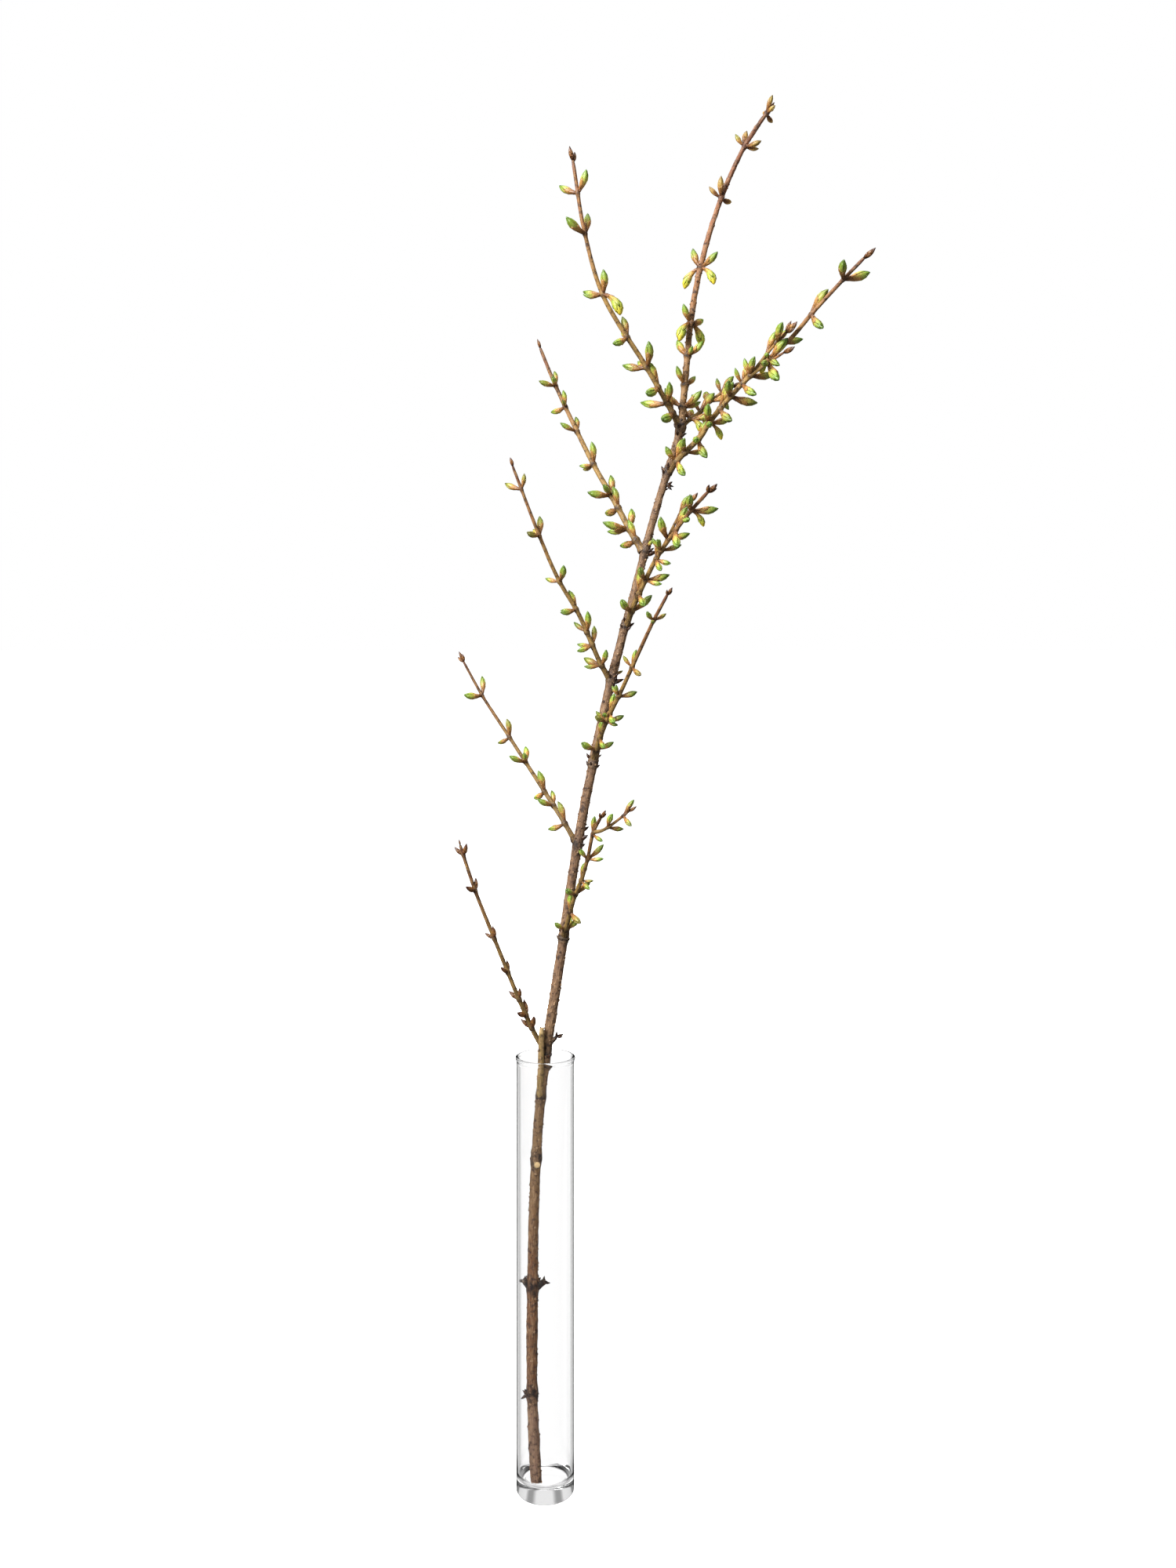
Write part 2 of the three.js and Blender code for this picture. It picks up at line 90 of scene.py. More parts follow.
# Glass vase
VASE_HEIGHT = 300
VASE_RADIUS = 20
VASE_WALL = 1.6
VASE_FLOOR = 10
VASE_FOOT_ROUND = 3
VASE_INNER_ROUND = 6
VASE_LIP_ROUND = 1.3
VASE_LIP_CENTRE = 19.45
VASE_LIP_SWEEP = 280
VASE_SIDES = 128
VASE_ARC_STEPS = 12

# Central axis from the cut foot to the topmost tip
STEM_AXIS = [
    (-6, -8, 10.8), (-9, -1, 69), (-9, 4, 140), (-8, 7.5, 198), (-5, 11, 252), (0, 13.5, 298),
    (4, 14.5, 324), (12, 16.5, 376), (20, 18, 430), (30, 20, 485), (46, 23, 559), (63, 26, 623),
    (76, 28, 673), (86, 29, 706), (95, 30, 736), (97, 32, 756), (100, 34, 787), (102, 36, 808),
    (109, 40, 849), (124, 46, 900), (141, 52, 939), (161, 58, 971),
]

# Girth of the old stem as pairs: height, radius
STEM_GIRTH = [
    (10.8, 3.6), (14, 3.8), (42, 3.9), (62, 3.6), (67, 4.2), (72, 4.1), (77, 3.6), (110, 4),
    (131, 3.8), (137, 4.6), (143, 4.6), (149, 3.7), (198, 3.6), (220, 3.5), (225, 4.1), (230, 4),
    (235, 3.4), (261, 3.4), (269, 3.9), (276, 3.5), (290, 3.6), (299, 4), (308, 3.7), (345, 3.6),
    (373, 3.4), (378, 4), (383, 3.5), (430, 3.3), (444, 3.8), (452, 3.3), (495, 3.2), (500, 3.7),
    (505, 3.2), (552, 3.1), (559, 4), (566, 3.1), (592, 3), (597, 3.4), (603, 2.9), (641, 2.7),
    (649, 3.8), (657, 2.7), (699, 2.6), (705, 3.4), (712, 2.5), (729, 2.8), (737, 4.1), (745, 2.6),
]
STEM_KNOT_HEIGHTS = [69, 140, 227, 269, 299, 378, 444, 500, 559, 597, 649, 705, 737]
STEM_KNOT_LENGTH = 5.5

# Leader: the last year's growth on top of the stem
LEADER = {
    "start": 737, "girth": (2.4, 1.5), "nodes": (14, 30, 51, 75, 116, 170, 213, 244), "first_turn": 40,
    "bud_length": (19.5, 12), "hang_size": 1.4, "droop": 1,
    "second": 0.3, "hang": ((3, 0), (3, 1), (4, 0), (4, 1)), "tip_buds": 3,
    "ripe": (1, 1, 0.9, 0.15, 0.2),
}

# Broken stubs and cut scars on the stem: from the axis to the end, radius at each, and how pale the end is
STEM_STUBS = [
    ((-9, 4, 137), (-15.5, 3, 145), (2.7, 2), 0.1),
    ((-9, 4, 137), (0, 3, 144), (2.8, 2), 0.1),
    ((-9, -1, 67), (-14, -2, 68.5), (2.8, 2), 0),
    ((-6.5, 9, 222), (-5.6, 4.2, 223.5), (2.9, 2.4), 1),
    ((-4, 11, 266), (-2.6, 7.5, 317), (2.6, 2), 0.6),
    ((1, 13.5, 303), (8.5, 12.5, 311), (1.9, 1.1), 0),
    ((84, 29, 696), (87.5, 27, 695), (1.8, 1.4), 0.1),
]

# Shares of a stub's length where its end rounds off and where the cut starts, and what counts as a long one
STUB_ROUND_START = 0.9
STUB_ROUND = 0.7
STUB_CUT_START = 0.93
STUB_AGE = 0.35
STUB_KNOT = 1.3
LONG_STUB = 30

# Buds on the old stem: height, turn about the axis, length, ripeness. Those below 0 are withered.
STEM_BUDS = [
    (67, 170, 7, -1), (140, 165, 8, -1), (142, 195, 7, -1), (141, 10, 8, -1), (138, 340, 8, -1),
    (305, 350, 8, -1), (692, 20, 5, -1), (704, 180, 6, -1), (731, 350, 6, -1), (733, 185, 7, -1),
    (738, 95, 6, -1), (736, 40, 7, -1), (740, 215, 7, -1),
    (307, 200, 11, 0), (379, 170, 8, 0.5), (441, 10, 10, 0.9), (446, 35, 9, -1), (452, 330, 8, -1),
    (444, 190, 7, -1), (501, 15, 9, 0.7), (556, 5, 10, -1), (562, 330, 9, 0.6), (560, 100, 8, -1),
    (597, 160, 9, 0.7), (646, 15, 10, -1), (652, 60, 9, 0.7), (648, 215, 8, -1),
]

# Withered scales left round the forks, by height, and at the ends of the broken stubs
SCALY_FORKS = [299, 378, 444, 500, 559, 597, 649, 705, 733, 740]
SCALES_PER_FORK = 7
SCALES_PER_STUB = 5
WITHERED_LENGTHS = (3.5, 6)
WITHERED_LEAN = (62, 30)
WITHERED = -1
FORK_REACH = 4
FORK_SCALE_FOOT = 2
STUB_SCALE_DEPTH = 1.5
FRESH_CUT_PALENESS = 0.5

# Rings of old bud scars round the stem, by height
RING_SCARS = [375.5, 378, 380.5, 497, 499.5, 502, 505, 557, 596, 598.5]
RING_LENGTH = 0.6
RING_RISE = 0.3
RING_PALENESS = 0.1

# Side twigs from the lowest up. nodes are distances along the axis, and first_turn is the first bud pair's
# turn about the twig. second is the share of buds with another beside them, hang lists the pair and side
# with a hanging bud, hang_size is its length against the others at its node, and droop is how far the buds
# below the twig spread. tone is the bark's lightness, and ripe runs from root to tip.
TWIGS = {
    "left_twig_1": {
        "axis": [(0, 13.5, 299), (-7, 11, 311), (-18, 5, 337), (-35, -2, 381),
                 (-48, -6, 415), (-58, -8, 446)],
        "tone": 0.6, "girth": (1.75, 1.15), "nodes": (21, 31, 44, 65, 91, 127, 153), "first_turn": 35,
        "bud_length": (10.5, 8.5), "hang_size": 1, "droop": 0.6,
        "second": 0.1, "hang": (), "tip_buds": 1, "ripe": (0, 0),
    },
    "left_twig_2": {
        "axis": [(22, 18, 442), (14, 20, 456), (-2, 28, 480), (-26, 36, 516),
                 (-46, 40, 546), (-60, 42, 571)],
        "tone": 0.72, "girth": (1.8, 0.9), "nodes": (18, 33, 45, 70, 91, 127), "first_turn": 38,
        "bud_length": (16, 14.5), "hang_size": 1, "droop": 1,
        "second": 0.2, "hang": (), "tip_buds": 3, "ripe": (0.8, 0.6),
    },
    "left_twig_3": {
        "axis": [(45, 23, 558), (38, 18, 570), (23, 10, 604), (9, 3, 628),
                 (-4, -4, 658), (-22, -10, 705)],
        "tone": 0.88, "girth": (1.8, 0.95), "nodes": (13, 29, 39, 57, 80, 115, 149), "first_turn": 45,
        "bud_length": (17, 12.5), "hang_size": 1, "droop": 1,
        "second": 0.2, "hang": (), "tip_buds": 1, "ripe": (0.85, 0.8, 0.35),
    },
    "left_twig_4": {
        "axis": [(68, 27, 649), (60, 30, 662), (48, 36, 685), (33, 42, 712),
                 (6, 50, 769), (-5, 52, 796)],
        "tone": 1, "girth": (2.3, 1.2), "nodes": (9, 19, 36, 47, 73, 100, 120, 137), "first_turn": 50,
        "bud_length": (19, 14), "hang_size": 1, "droop": 1,
        "second": 0.22, "hang": (), "tip_buds": 1, "ripe": (0.9, 0.75),
    },
    "left_twig_5": {
        "axis": [(94, 30, 738), (85, 25, 753), (71, 18, 776), (40, 8, 825),
                 (27, 2, 868), (19, -2, 916)],
        "tone": 1.05, "girth": (1.9, 1.2), "nodes": (10, 18, 31, 47, 72, 106, 149, 177),
        "first_turn": 130,
        "bud_length": (19.5, 19.5), "hang_size": 1.35, "droop": 1,
        "second": 0.25, "hang": ((5, 1),), "tip_buds": 2, "ripe": (0.95, 0.8),
    },
    "right_twig_1": {
        "axis": [(12, 16.5, 378), (15, 4, 390), (20, -8, 410), (25, -18, 424), (29, -27, 439),
                 (33, -38, 459), (38, -46, 470)],
        "tone": 0.7, "girth": (1.7, 1.1), "nodes": (11, 29, 45, 59, 78, 99), "first_turn": 330,
        "bud_length": (13.5, 13.5), "hang_size": 1, "droop": 1,
        "second": 0.2, "hang": (), "tip_buds": 3, "ripe": (0.5, 0.7),
        "branchlets": [
            {"axis": [(33, -38, 459), (39, -44, 461), (47, -50, 467), (56, -56, 475)],
             "nodes": (14, 29), "hang": (), "tip_buds": 2},
        ],
    },
    "right_twig_2": {
        "axis": [(33, 21, 501), (37, 8, 516), (43, -6, 533), (50, -18, 548), (59, -34, 569),
                 (72, -56, 599), (81, -68, 617)],
        "tone": 0.8, "girth": (1.8, 1.05), "nodes": (12, 23, 40, 47, 64, 91, 132), "first_turn": 330,
        "bud_length": (16, 11), "hang_size": 1, "droop": 1,
        "second": 0.25, "hang": (), "tip_buds": 3, "ripe": (0.85, 0.55),
    },
    "right_twig_3": {
        "axis": [(56, 25, 595), (61, 13, 609), (66, 2, 621), (76, -14, 642), (88, -32, 660),
                 (98, -46, 673), (108, -58, 684)],
        "tone": 0.85, "girth": (1.9, 1.2), "nodes": (15, 32, 45, 64, 72, 93, 113), "first_turn": 330,
        "bud_length": (17, 17), "hang_size": 1, "droop": 1,
        "second": 0.25, "hang": ((6, 1),), "tip_buds": 3, "ripe": (0.9, 0.85),
        "branchlets": [
            {"axis": [(76, -14, 642), (83, -22, 655), (91, -30, 671), (97, -36, 679)],
             "nodes": (17, 36), "hang": (), "tip_buds": 2},
        ],
    },
    "right_twig_4": {
        "axis": [(86, 29, 704), (93, 20, 713), (108, 6, 728), (113, 0, 736),
                 (128, -14, 754), (139, -22, 765),
                 (164, -40, 787), (177, -50, 802), (196, -64, 822), (207, -72, 833)],
        "tone": 1, "girth": (2.1, 1.15), "nodes": (12, 22, 36, 51, 64, 76, 88, 96, 155, 186),
        "first_turn": 45,
        "bud_length": (17.5, 20), "hang_size": 1, "droop": 1,
        "second": 0.3, "hang": ((0, 0), (3, 0)), "tip_buds": 1, "ripe": (0.95, 0.85),
        "branchlets": [
            {"axis": [(139, -22, 765), (149, -32, 778), (161, -44, 791)],
             "nodes": (19, 31), "hang": ((0, 1),), "tip_buds": 3},
            {"axis": [(139, -22, 765), (150, -34, 772), (159, -44, 777)],
             "nodes": (18,), "hang": (), "tip_buds": 1},
        ],
    },
    "right_twig_5": {
        "axis": [(94, 30, 735), (102, 36, 743), (110, 42, 749), (117, 48, 757),
                 (126, 53, 764), (134, 58, 769)],
        "tone": 0.9, "girth": (1.5, 1.1), "nodes": (13, 24, 37, 49), "first_turn": 60,
        "bud_length": (18.5, 17), "hang_size": 1, "droop": 1,
        "second": 0.25, "hang": ((0, 0),), "tip_buds": 2, "ripe": (0.95, 0.9),
    },
}
BRANCHLET_GIRTH = (1.1, 0.85)
KNOT_SWELL = 0.38
KNOT_LENGTH = 1.7
COLLAR_SWELL = 0.55
COLLAR_LENGTH = 5
TIP_TAPER = 0.8
TIP_TAPER_LENGTH = 4

# Buds: sizes as shares, angles in degrees
BUD_SLIMNESS = 0.275
HANGING_SLIMNESS = 0.26
LEAF_BUD_SLIMNESS = 0.34
HANGING_RISE = -15
HANGING_FALL = -80
LEAN_ABOVE = (36, 4)
LEAN_BELOW = (88, 64)
LEAN_JITTER = 22
UNDERSIDE = 0.5
SPREAD_LEAN = (85, 48)
TIP_LEAN = (38, 14)
LEADING_LEAN = (10, 2)
TURN_JITTER = 26
SIZE_SPREAD = 0.34
SECOND_BUD_TURN = 46
SECOND_BUD_SIZE = 0.78
TIP_BUD_SIZE = 0.52
TIP_SIDE_BUD_SIZE = 0.42
CLOSED_BEND = 27
LEAF_BEND = 18
LEAF_RIPENESS = 0.1
RIPENESS_SPREAD = 0.17
PLUMPNESS = (0.9, 1.12)

# Where a bud is looked for in the solid: shares of its length along its chord and out to its bulge
PROBE_ALONG = 0.6
PROBE_OUT = 0.1

FRONT = np.array([0.0, -1.0, 0.0])
UP = np.array([0.0, 0.0, 1.0])

# Seeds of the repeatable draws
STEM_SEED = 3
LOOKS_SEED = 7
WITHERED_SEED = 11
LEADER_SEED = 2
TWIG_SEED_STEP = 1000


def seeded_random(seed):
    """Repeatable random numbers from 0 to 1."""
    state = seed
    while True:
        state = (state * 1664525 + 1013904223) % 2**32
        yield state / 2**32


def mix(first, second, share):
    return first + (second - first) * share


def stepped(values, share):
    """A value read along a row of evenly spaced ones."""
    return float(np.interp(share, np.linspace(0, 1, len(values)), values))


def unit(vector):
    return vector / np.linalg.norm(vector)


def heading(along, out, degrees):
    return along * math.cos(math.radians(degrees)) + out * math.sin(math.radians(degrees))


class Centreline:
    """A smooth line through given points, read by the distance along it."""

    STEPS = 60

    def __init__(self, points):
        given = np.array(points, float)
        first = 2 * given[0] - given[1]
        last = 2 * given[-1] - given[-2]
        padded = np.vstack([first, given, last])
        spans = [self.span(*padded[i:i + 4]) for i in range(len(given) - 1)]
        self.points = np.vstack([*spans, given[-1:]])
        steps = np.linalg.norm(np.diff(self.points, axis=0), axis=1)
        self.distances = np.concatenate([[0], np.cumsum(steps)])
        self.length = self.distances[-1]

    def span(self, before, start, end, after):
        """Centripetal stretch from start to end, shaped by the points on either side."""
        gaps = [math.sqrt(np.linalg.norm(b - a)) for a, b in ((before, start), (start, end), (end, after))]
        leave = (start - before) / gaps[0] - (end - before) / (gaps[0] + gaps[1]) + (end - start) / gaps[1]
        arrive = (end - start) / gaps[1] - (after - start) / (gaps[1] + gaps[2]) + (after - end) / gaps[2]
        leave = leave * gaps[1]
        arrive = arrive * gaps[1]
        t = np.linspace(0, 1, self.STEPS, endpoint=False)[:, None]
        bend = -3 * start + 3 * end - 2 * leave - arrive
        twist = 2 * start - 2 * end + leave + arrive
        return start + leave * t + bend * t**2 + twist * t**3

    def at(self, distance):
        return np.stack([np.interp(distance, self.distances, axis) for axis in self.points.T], axis=-1)

    def direction(self, distance):
        distance = min(max(distance, 0.05), self.length - 0.05)
        return unit(self.at(distance + 0.05) - self.at(distance - 0.05))

    def distance_at_height(self, height):
        return float(np.interp(height, self.points[:, 2], self.distances))

    def spot(self, distance, turn):
        """Point, direction and outward direction at a distance along the line."""
        along = self.direction(distance)
        side = unit(np.cross(along, FRONT))
        ahead = np.cross(side, along)
        return self.at(min(distance, self.length)), along, heading(side, ahead, turn)


# Lines that the bark follows

def rod(points, along, girth, age, knot, cut, olive, tone):
    size = len(points)
    values = {"girth": girth * MM, "along": along * MM, "age": age, "knot": knot, "cut": cut,
              "olive": olive, "tone": tone}
    return points * MM, {name: np.broadcast_to(value, size) for name, value in values.items()}


def lines_mesh(name, rods):
    """The rods' middle lines as edges, carrying the girth and the colour shares of the bark."""
    mesh = bpy.data.meshes.new(name)
    vertices = np.vstack([points for points, _ in rods])
    edges = []
    start = 0
    for points, _ in rods:
        edges += [(i, i + 1) for i in range(start, start + len(points) - 1)]
        start += len(points)
    mesh.from_pydata(vertices.tolist(), edges, [])
    for key in rods[0][1]:
        values = np.concatenate([shares[key] for _, shares in rods])
        mesh.attributes.new(key, "FLOAT", "POINT").data.foreach_set("value", values.astype(np.float32))
    return mesh


def bumps(along, places, length):
    """Height of a row of round bumps along a line, 1 at each place."""
    return np.exp(-((along[:, None] - np.array(places)[None, :]) / length) ** 2).sum(axis=1)


STATION = 0.9
STEM_STATION = 0.5


def stations(length, step=STATION):
    return np.linspace(0, length, max(4, int(length / step)))


def twig_rod(line, growth):
    along = stations(line.length)
    thick, thin = growth["girth"]
    knot = bumps(along, growth["nodes"], KNOT_LENGTH)
    collar = np.exp(-along / COLLAR_LENGTH)
    end = np.interp(along, [line.length - TIP_TAPER_LENGTH, line.length], [1, TIP_TAPER])
    girth = mix(thick, thin, along / line.length) * (1 + KNOT_SWELL * knot + COLLAR_SWELL * collar) * end
    return rod(line.at(along), along, girth, along / line.length, knot, 0, 0, growth["tone"])


def stem_rod(line, leader_start):
    along = stations(line.length, STEM_STATION)
    places = [line.distance_at_height(height) for height, _ in STEM_GIRTH]
    old = np.interp(along, places, [radius for _, radius in STEM_GIRTH])
    thick, thin = LEADER["girth"]
    leader_nodes = [leader_start + node for node in LEADER["nodes"]]
    knot = bumps(along, leader_nodes, KNOT_LENGTH)
    share = np.clip((along - leader_start) / (line.length - leader_start), 0, 1)
    young = mix(thick, thin, share) * (1 + KNOT_SWELL * knot)
    girth = np.where(along < places[-1], old, young)
    knots = [line.distance_at_height(height) for height in STEM_KNOT_HEIGHTS]
    knot = knot + bumps(along, knots, STEM_KNOT_LENGTH)
    rings = bumps(along, [line.distance_at_height(height) for height in RING_SCARS], RING_LENGTH)
    girth = girth + RING_RISE * rings
    return rod(line.at(along), along, girth, along / line.length, knot, RING_PALENESS * rings, 0, 1)


def stub_rod(start, end, radius, pale):
    start = np.array(start, float)
    end = np.array(end, float)
    length = np.linalg.norm(end - start)
    share = np.linspace(0, 1, max(6, int(length / STATION)))
    rounding = np.interp(share, [0, STUB_ROUND_START, 1], [1, 1, STUB_ROUND])
    girth = mix(radius[0], radius[1], share) * rounding
    cut = np.where(share > STUB_CUT_START, pale, 0)
    long_stub = 1.0 if length > LONG_STUB else 0.0
    points = start + (end - start) * share[:, None]
    knot = STUB_KNOT * (1 - long_stub)
    return rod(points, share * length, girth, STUB_AGE, knot, cut, long_stub, 1)


# Buds: where each one sits, the same as in the frame

def lean_of(out, sway, droop):
    """Buds on the upper side stand up along the twig, and those below spread further."""
    below = min(max((1 - out[2] / UNDERSIDE) / 2, 0), 1) * droop
    return tuple(mix(above, under, below) + sway for above, under in zip(LEAN_ABOVE, LEAN_BELOW))


def rising_bud(root, along, out, length, lean, kind, ripe):
    """A bud that leaves the twig at one angle and bends to another."""
    middle = (lean[0] + lean[1]) / 2
    chord = heading(along, out, middle)
    bulge = heading(along, out, middle + 90)
    return {"root": root, "chord": chord, "bulge": bulge, "length": length, "kind": kind, "ripe": ripe}


def hanging_bud(root, out, length, ripe):
    level = unit(np.array([out[0], out[1], 0]))
    middle = (HANGING_RISE + HANGING_FALL) / 2
    return {"root": root, "chord": heading(level, UP, middle), "bulge": heading(level, UP, middle + 90),
            "length": length, "kind": "hanging", "ripe": ripe}


def paired_buds(line, growth, start, random):
    """Opposite buds at every node, each pair turned a quarter from the one below."""
    buds = []
    last = growth["nodes"][-1]
    for pair, node in enumerate(growth["nodes"]):
        for side in (0, 1):
            turn = growth["first_turn"] + 90 * pair + 180 * side + (next(random) - 0.5) * TURN_JITTER
            size = mix(*growth["bud_length"], node / last)
            ripe = stepped(growth["ripe"], node / last)
            length = size * (1 + (next(random) - 0.5) * SIZE_SPREAD)
            has_second = next(random) < growth["second"]
            second_turn = turn + (SECOND_BUD_TURN if next(random) < 0.5 else -SECOND_BUD_TURN)
            sway = (next(random) - 0.5) * LEAN_JITTER
            root, along, out = line.spot(start + node, turn)
            kind = "closed" if ripe > LEAF_RIPENESS else "leaf"
            lean = lean_of(out, sway, growth["droop"])
            buds.append(rising_bud(root, along, out, length, lean, kind, ripe))
            if (pair, side) in growth["hang"]:
                buds.append(hanging_bud(root, out, size * growth["hang_size"], ripe))
            elif has_second:
                _, _, second_out = line.spot(start + node, second_turn)
                smaller = length * SECOND_BUD_SIZE
                buds.append(rising_bud(root, along, second_out, smaller, SPREAD_LEAN, kind, ripe))
    return buds


def tip_buds(line, growth):
    """A bud that carries the twig on, with one or two smaller ones at its foot."""
    size = growth["bud_length"][1]
    root, along, out = line.spot(line.length, growth["first_turn"])
    buds = [rising_bud(root, along, out, size * TIP_BUD_SIZE, LEADING_LEAN, "leaf", 0)]
    for i in range(1, growth["tip_buds"]):
        root, along, out = line.spot(line.length - 1, growth["first_turn"] + 180 * i)
        buds.append(rising_bud(root, along, out, size * TIP_SIDE_BUD_SIZE, TIP_LEAN, "leaf", 0))
    return buds


def withered_scales(line, random):
    """Small dark scales that last year's buds and broken stubs left on the old wood."""
    scales = []

    def add(root, along, out):
        length = random.uniform(*WITHERED_LENGTHS)
        scales.append(rising_bud(root, along, out, length, WITHERED_LEAN, "leaf", WITHERED))

    for height in SCALY_FORKS:
        for _ in range(SCALES_PER_FORK):
            distance = line.distance_at_height(height + random.uniform(-FORK_REACH, FORK_REACH))
            root, along, out = line.spot(distance, random.uniform(0, 360))
            add(root + FORK_SCALE_FOOT * out, along, out)
    for start, end, _, pale in STEM_STUBS:
        if pale < FRESH_CUT_PALENESS:
            along = unit(np.subtract(end, start))
            side = unit(np.cross(along, FRONT))
            ahead = np.cross(side, along)
            for _ in range(SCALES_PER_STUB):
                add(end - STUB_SCALE_DEPTH * along, along, heading(side, ahead, random.uniform(0, 360)))
    return scales


def kept_buds(buds, node):
    """The buds whose solid is in the frame's node: those with no room beside another piece aren't."""
    solid = frame["nodes"][node].data
    tree = BVHTree.FromPolygons([v.co for v in solid.vertices], [p.vertices for p in solid.polygons])
    kept = []
    for bud in buds:
        reach = bud["chord"] * PROBE_ALONG + bud["bulge"] * PROBE_OUT
        probe = Vector((bud["root"] + reach * bud["length"]) * MM)
        nearest, normal, _, _ = tree.find_nearest(probe)
        if (probe - nearest).dot(normal) < 0:
            kept.append(bud)
    return kept


# Bud shapes of unit length. A scale is: start, end, turn, half spread in degrees, lift, layer.
BROWN_SCALE = 0.0
SEPAL = 1.0
PETAL = 2.0
CORE_SHARES = (0, 0.1, 0.25, 0.38, 0.5, 0.62, 0.75, 0.87, 0.95, 1)
CORE_WIDTHS = (0.42, 0.47, 0.56, 0.74, 0.93, 1, 0.88, 0.59, 0.31, 0.02)
FLOWER_WIDTHS = (0.36, 0.38, 0.42, 0.54, 0.74, 0.94, 1, 0.8, 0.46, 0.02)
POINTED_WIDTHS = (0.5, 0.66, 0.86, 0.96, 0.93, 0.82, 0.62, 0.38, 0.2, 0.02)
SCALE_ROWS = 4
SCALE_HALF_COLUMNS = 2
CORE_SIDES = 8
CORE_HEIGHT = 0.93
CORE_RIM = 0.4
BROWN_SPREAD = 72
SEPAL_SPREAD = 62
PETAL_SPREAD = 66


def bent_point(share, turn, radius, bend):
    """A point off the middle line of a unit bud whose line bends by an angle."""
    half = math.radians(bend) / 2
    knee = np.array([math.sin(half), 0, math.cos(half)]) / 2
    tip = np.array([0, 0, math.cos(half)])
    middle = 2 * share * (1 - share) * knee + share**2 * tip
    tangent = unit((1 - share) * knee + share * (tip - knee))
    side = np.array([tangent[2], 0, -tangent[0]])
    across = np.array([0, 1, 0])
    return middle + radius * (math.cos(turn) * side + math.sin(turn) * across)


class BudMaker:
    """Collects a bud's core and overlapping scales into one mesh with their colour shares."""

    def __init__(self, bend, slimness, widths=CORE_WIDTHS):
        self.bend = bend
        self.widths = widths
        self.half_width = slimness / 2
        self.vertices = []
        self.faces = []
        self.shares = {"bud_along": [], "rim": [], "layer": []}

    def width(self, share):
        return float(np.interp(share, CORE_SHARES, self.widths)) * self.half_width

    def corner(self, share, turn, height, rim, layer):
        self.vertices.append(bent_point(share, turn, self.width(share) * height, self.bend))
        for name, value in zip(self.shares, (share, rim, layer)):
            self.shares[name].append(value)
        return len(self.vertices) - 1

    def core(self, layer):
        foot = self.corner(0, 0, 0, 0, layer)
        tip = self.corner(1, 0, 0, 0, layer)
        rings = []
        for share in CORE_SHARES[:-1]:
            turns = np.arange(CORE_SIDES) * 2 * math.pi / CORE_SIDES
            rings.append([self.corner(share, turn, CORE_HEIGHT, CORE_RIM, layer) for turn in turns])
        for low, high in zip(rings, rings[1:]):
            for i in range(CORE_SIDES):
                j = (i + 1) % CORE_SIDES
                self.faces.append((low[i], low[j], high[j], high[i]))
        for i in range(CORE_SIDES):
            j = (i + 1) % CORE_SIDES
            self.faces.append((foot, rings[0][j], rings[0][i]))
            self.faces.append((tip, rings[-1][i], rings[-1][j]))

    def scale(self, start, end, turn, spread, lift, layer):
        """One keeled scale that hugs the core and closes inside it."""
        columns = np.linspace(-1, 1, 2 * SCALE_HALF_COLUMNS + 1)
        rows = []
        for v in np.linspace(0, 1, SCALE_ROWS + 1)[:-1]:
            share = mix(start, end, v)
            outline = (1 - v**1.8) ** 0.75
            row = []
            for u in columns:
                height = 1 + lift * (0.35 + 0.75 * v) * (1 - 0.85 * u * u)
                angle = math.radians(turn + spread * u * outline)
                row.append(self.corner(share, angle, height, max(abs(u), v**2), layer))
            rows.append(row)
        tip = self.corner(end, math.radians(turn), 1 + lift, 1, layer)
        inside = self.corner(mix(start, end, 0.5), math.radians(turn), 0.2, 1, layer)
        for low, high in zip(rows, rows[1:]):
            for i in range(len(columns) - 1):
                self.faces.append((low[i], low[i + 1], high[i + 1], high[i]))
        for i in range(len(columns) - 1):
            self.faces.append((rows[-1][i], rows[-1][i + 1], tip))
        right = [row[-1] for row in rows]
        left = [row[0] for row in rows]
        rim = rows[0] + right[1:] + [tip] + left[:0:-1]
        for a, b in zip(rim, rim[1:] + rim[:1]):
            self.faces.append((b, a, inside))

    def mesh(self, name):
        mesh = bpy.data.meshes.new(name)
        mesh.from_pydata([tuple(v) for v in self.vertices], [], self.faces)
        for key, values in self.shares.items():
            mesh.attributes.new(key, "FLOAT", "POINT").data.foreach_set("value", values)
        shape = bmesh.new()
        shape.from_mesh(mesh)
        bmesh.ops.recalc_face_normals(shape, faces=shape.faces)
        shape.to_mesh(mesh)
        shape.free()
        mesh.shade_smooth()
        return mesh


def scale_pairs(maker, ends, first_turn, random):
    """Decussate brown scales from the foot up, each pair turned a quarter from the last."""
    for i, end in enumerate(ends):
        for side in (0, 180):
            turn = first_turn + 90 * i + side + random.uniform(-10, 10)
            start = max(0.0, end - 0.3) * 0.8
            reach = end + random.uniform(-0.03, 0.03)
            maker.scale(start, reach, turn, BROWN_SPREAD, random.uniform(0.1, 0.2), BROWN_SCALE)


def closed_bud(seed):
    """A plump flower bud: brown scales below, green sepals closed above."""
    random = np.random.default_rng(seed)
    maker = BudMaker(CLOSED_BEND, BUD_SLIMNESS)
    maker.core(SEPAL)
    for i in range(4):
        turn = 45 + 90 * i + random.uniform(-8, 8)
        maker.scale(0.28, random.uniform(0.93, 1.0), turn, SEPAL_SPREAD, random.uniform(0.05, 0.11), SEPAL)
    reach = random.uniform(0.56, 0.68)
    ends = [reach * share for share in (1, 0.8, 0.6, 0.41, 0.22)]
    scale_pairs(maker, ends, random.choice((0, 90)), random)
    return maker


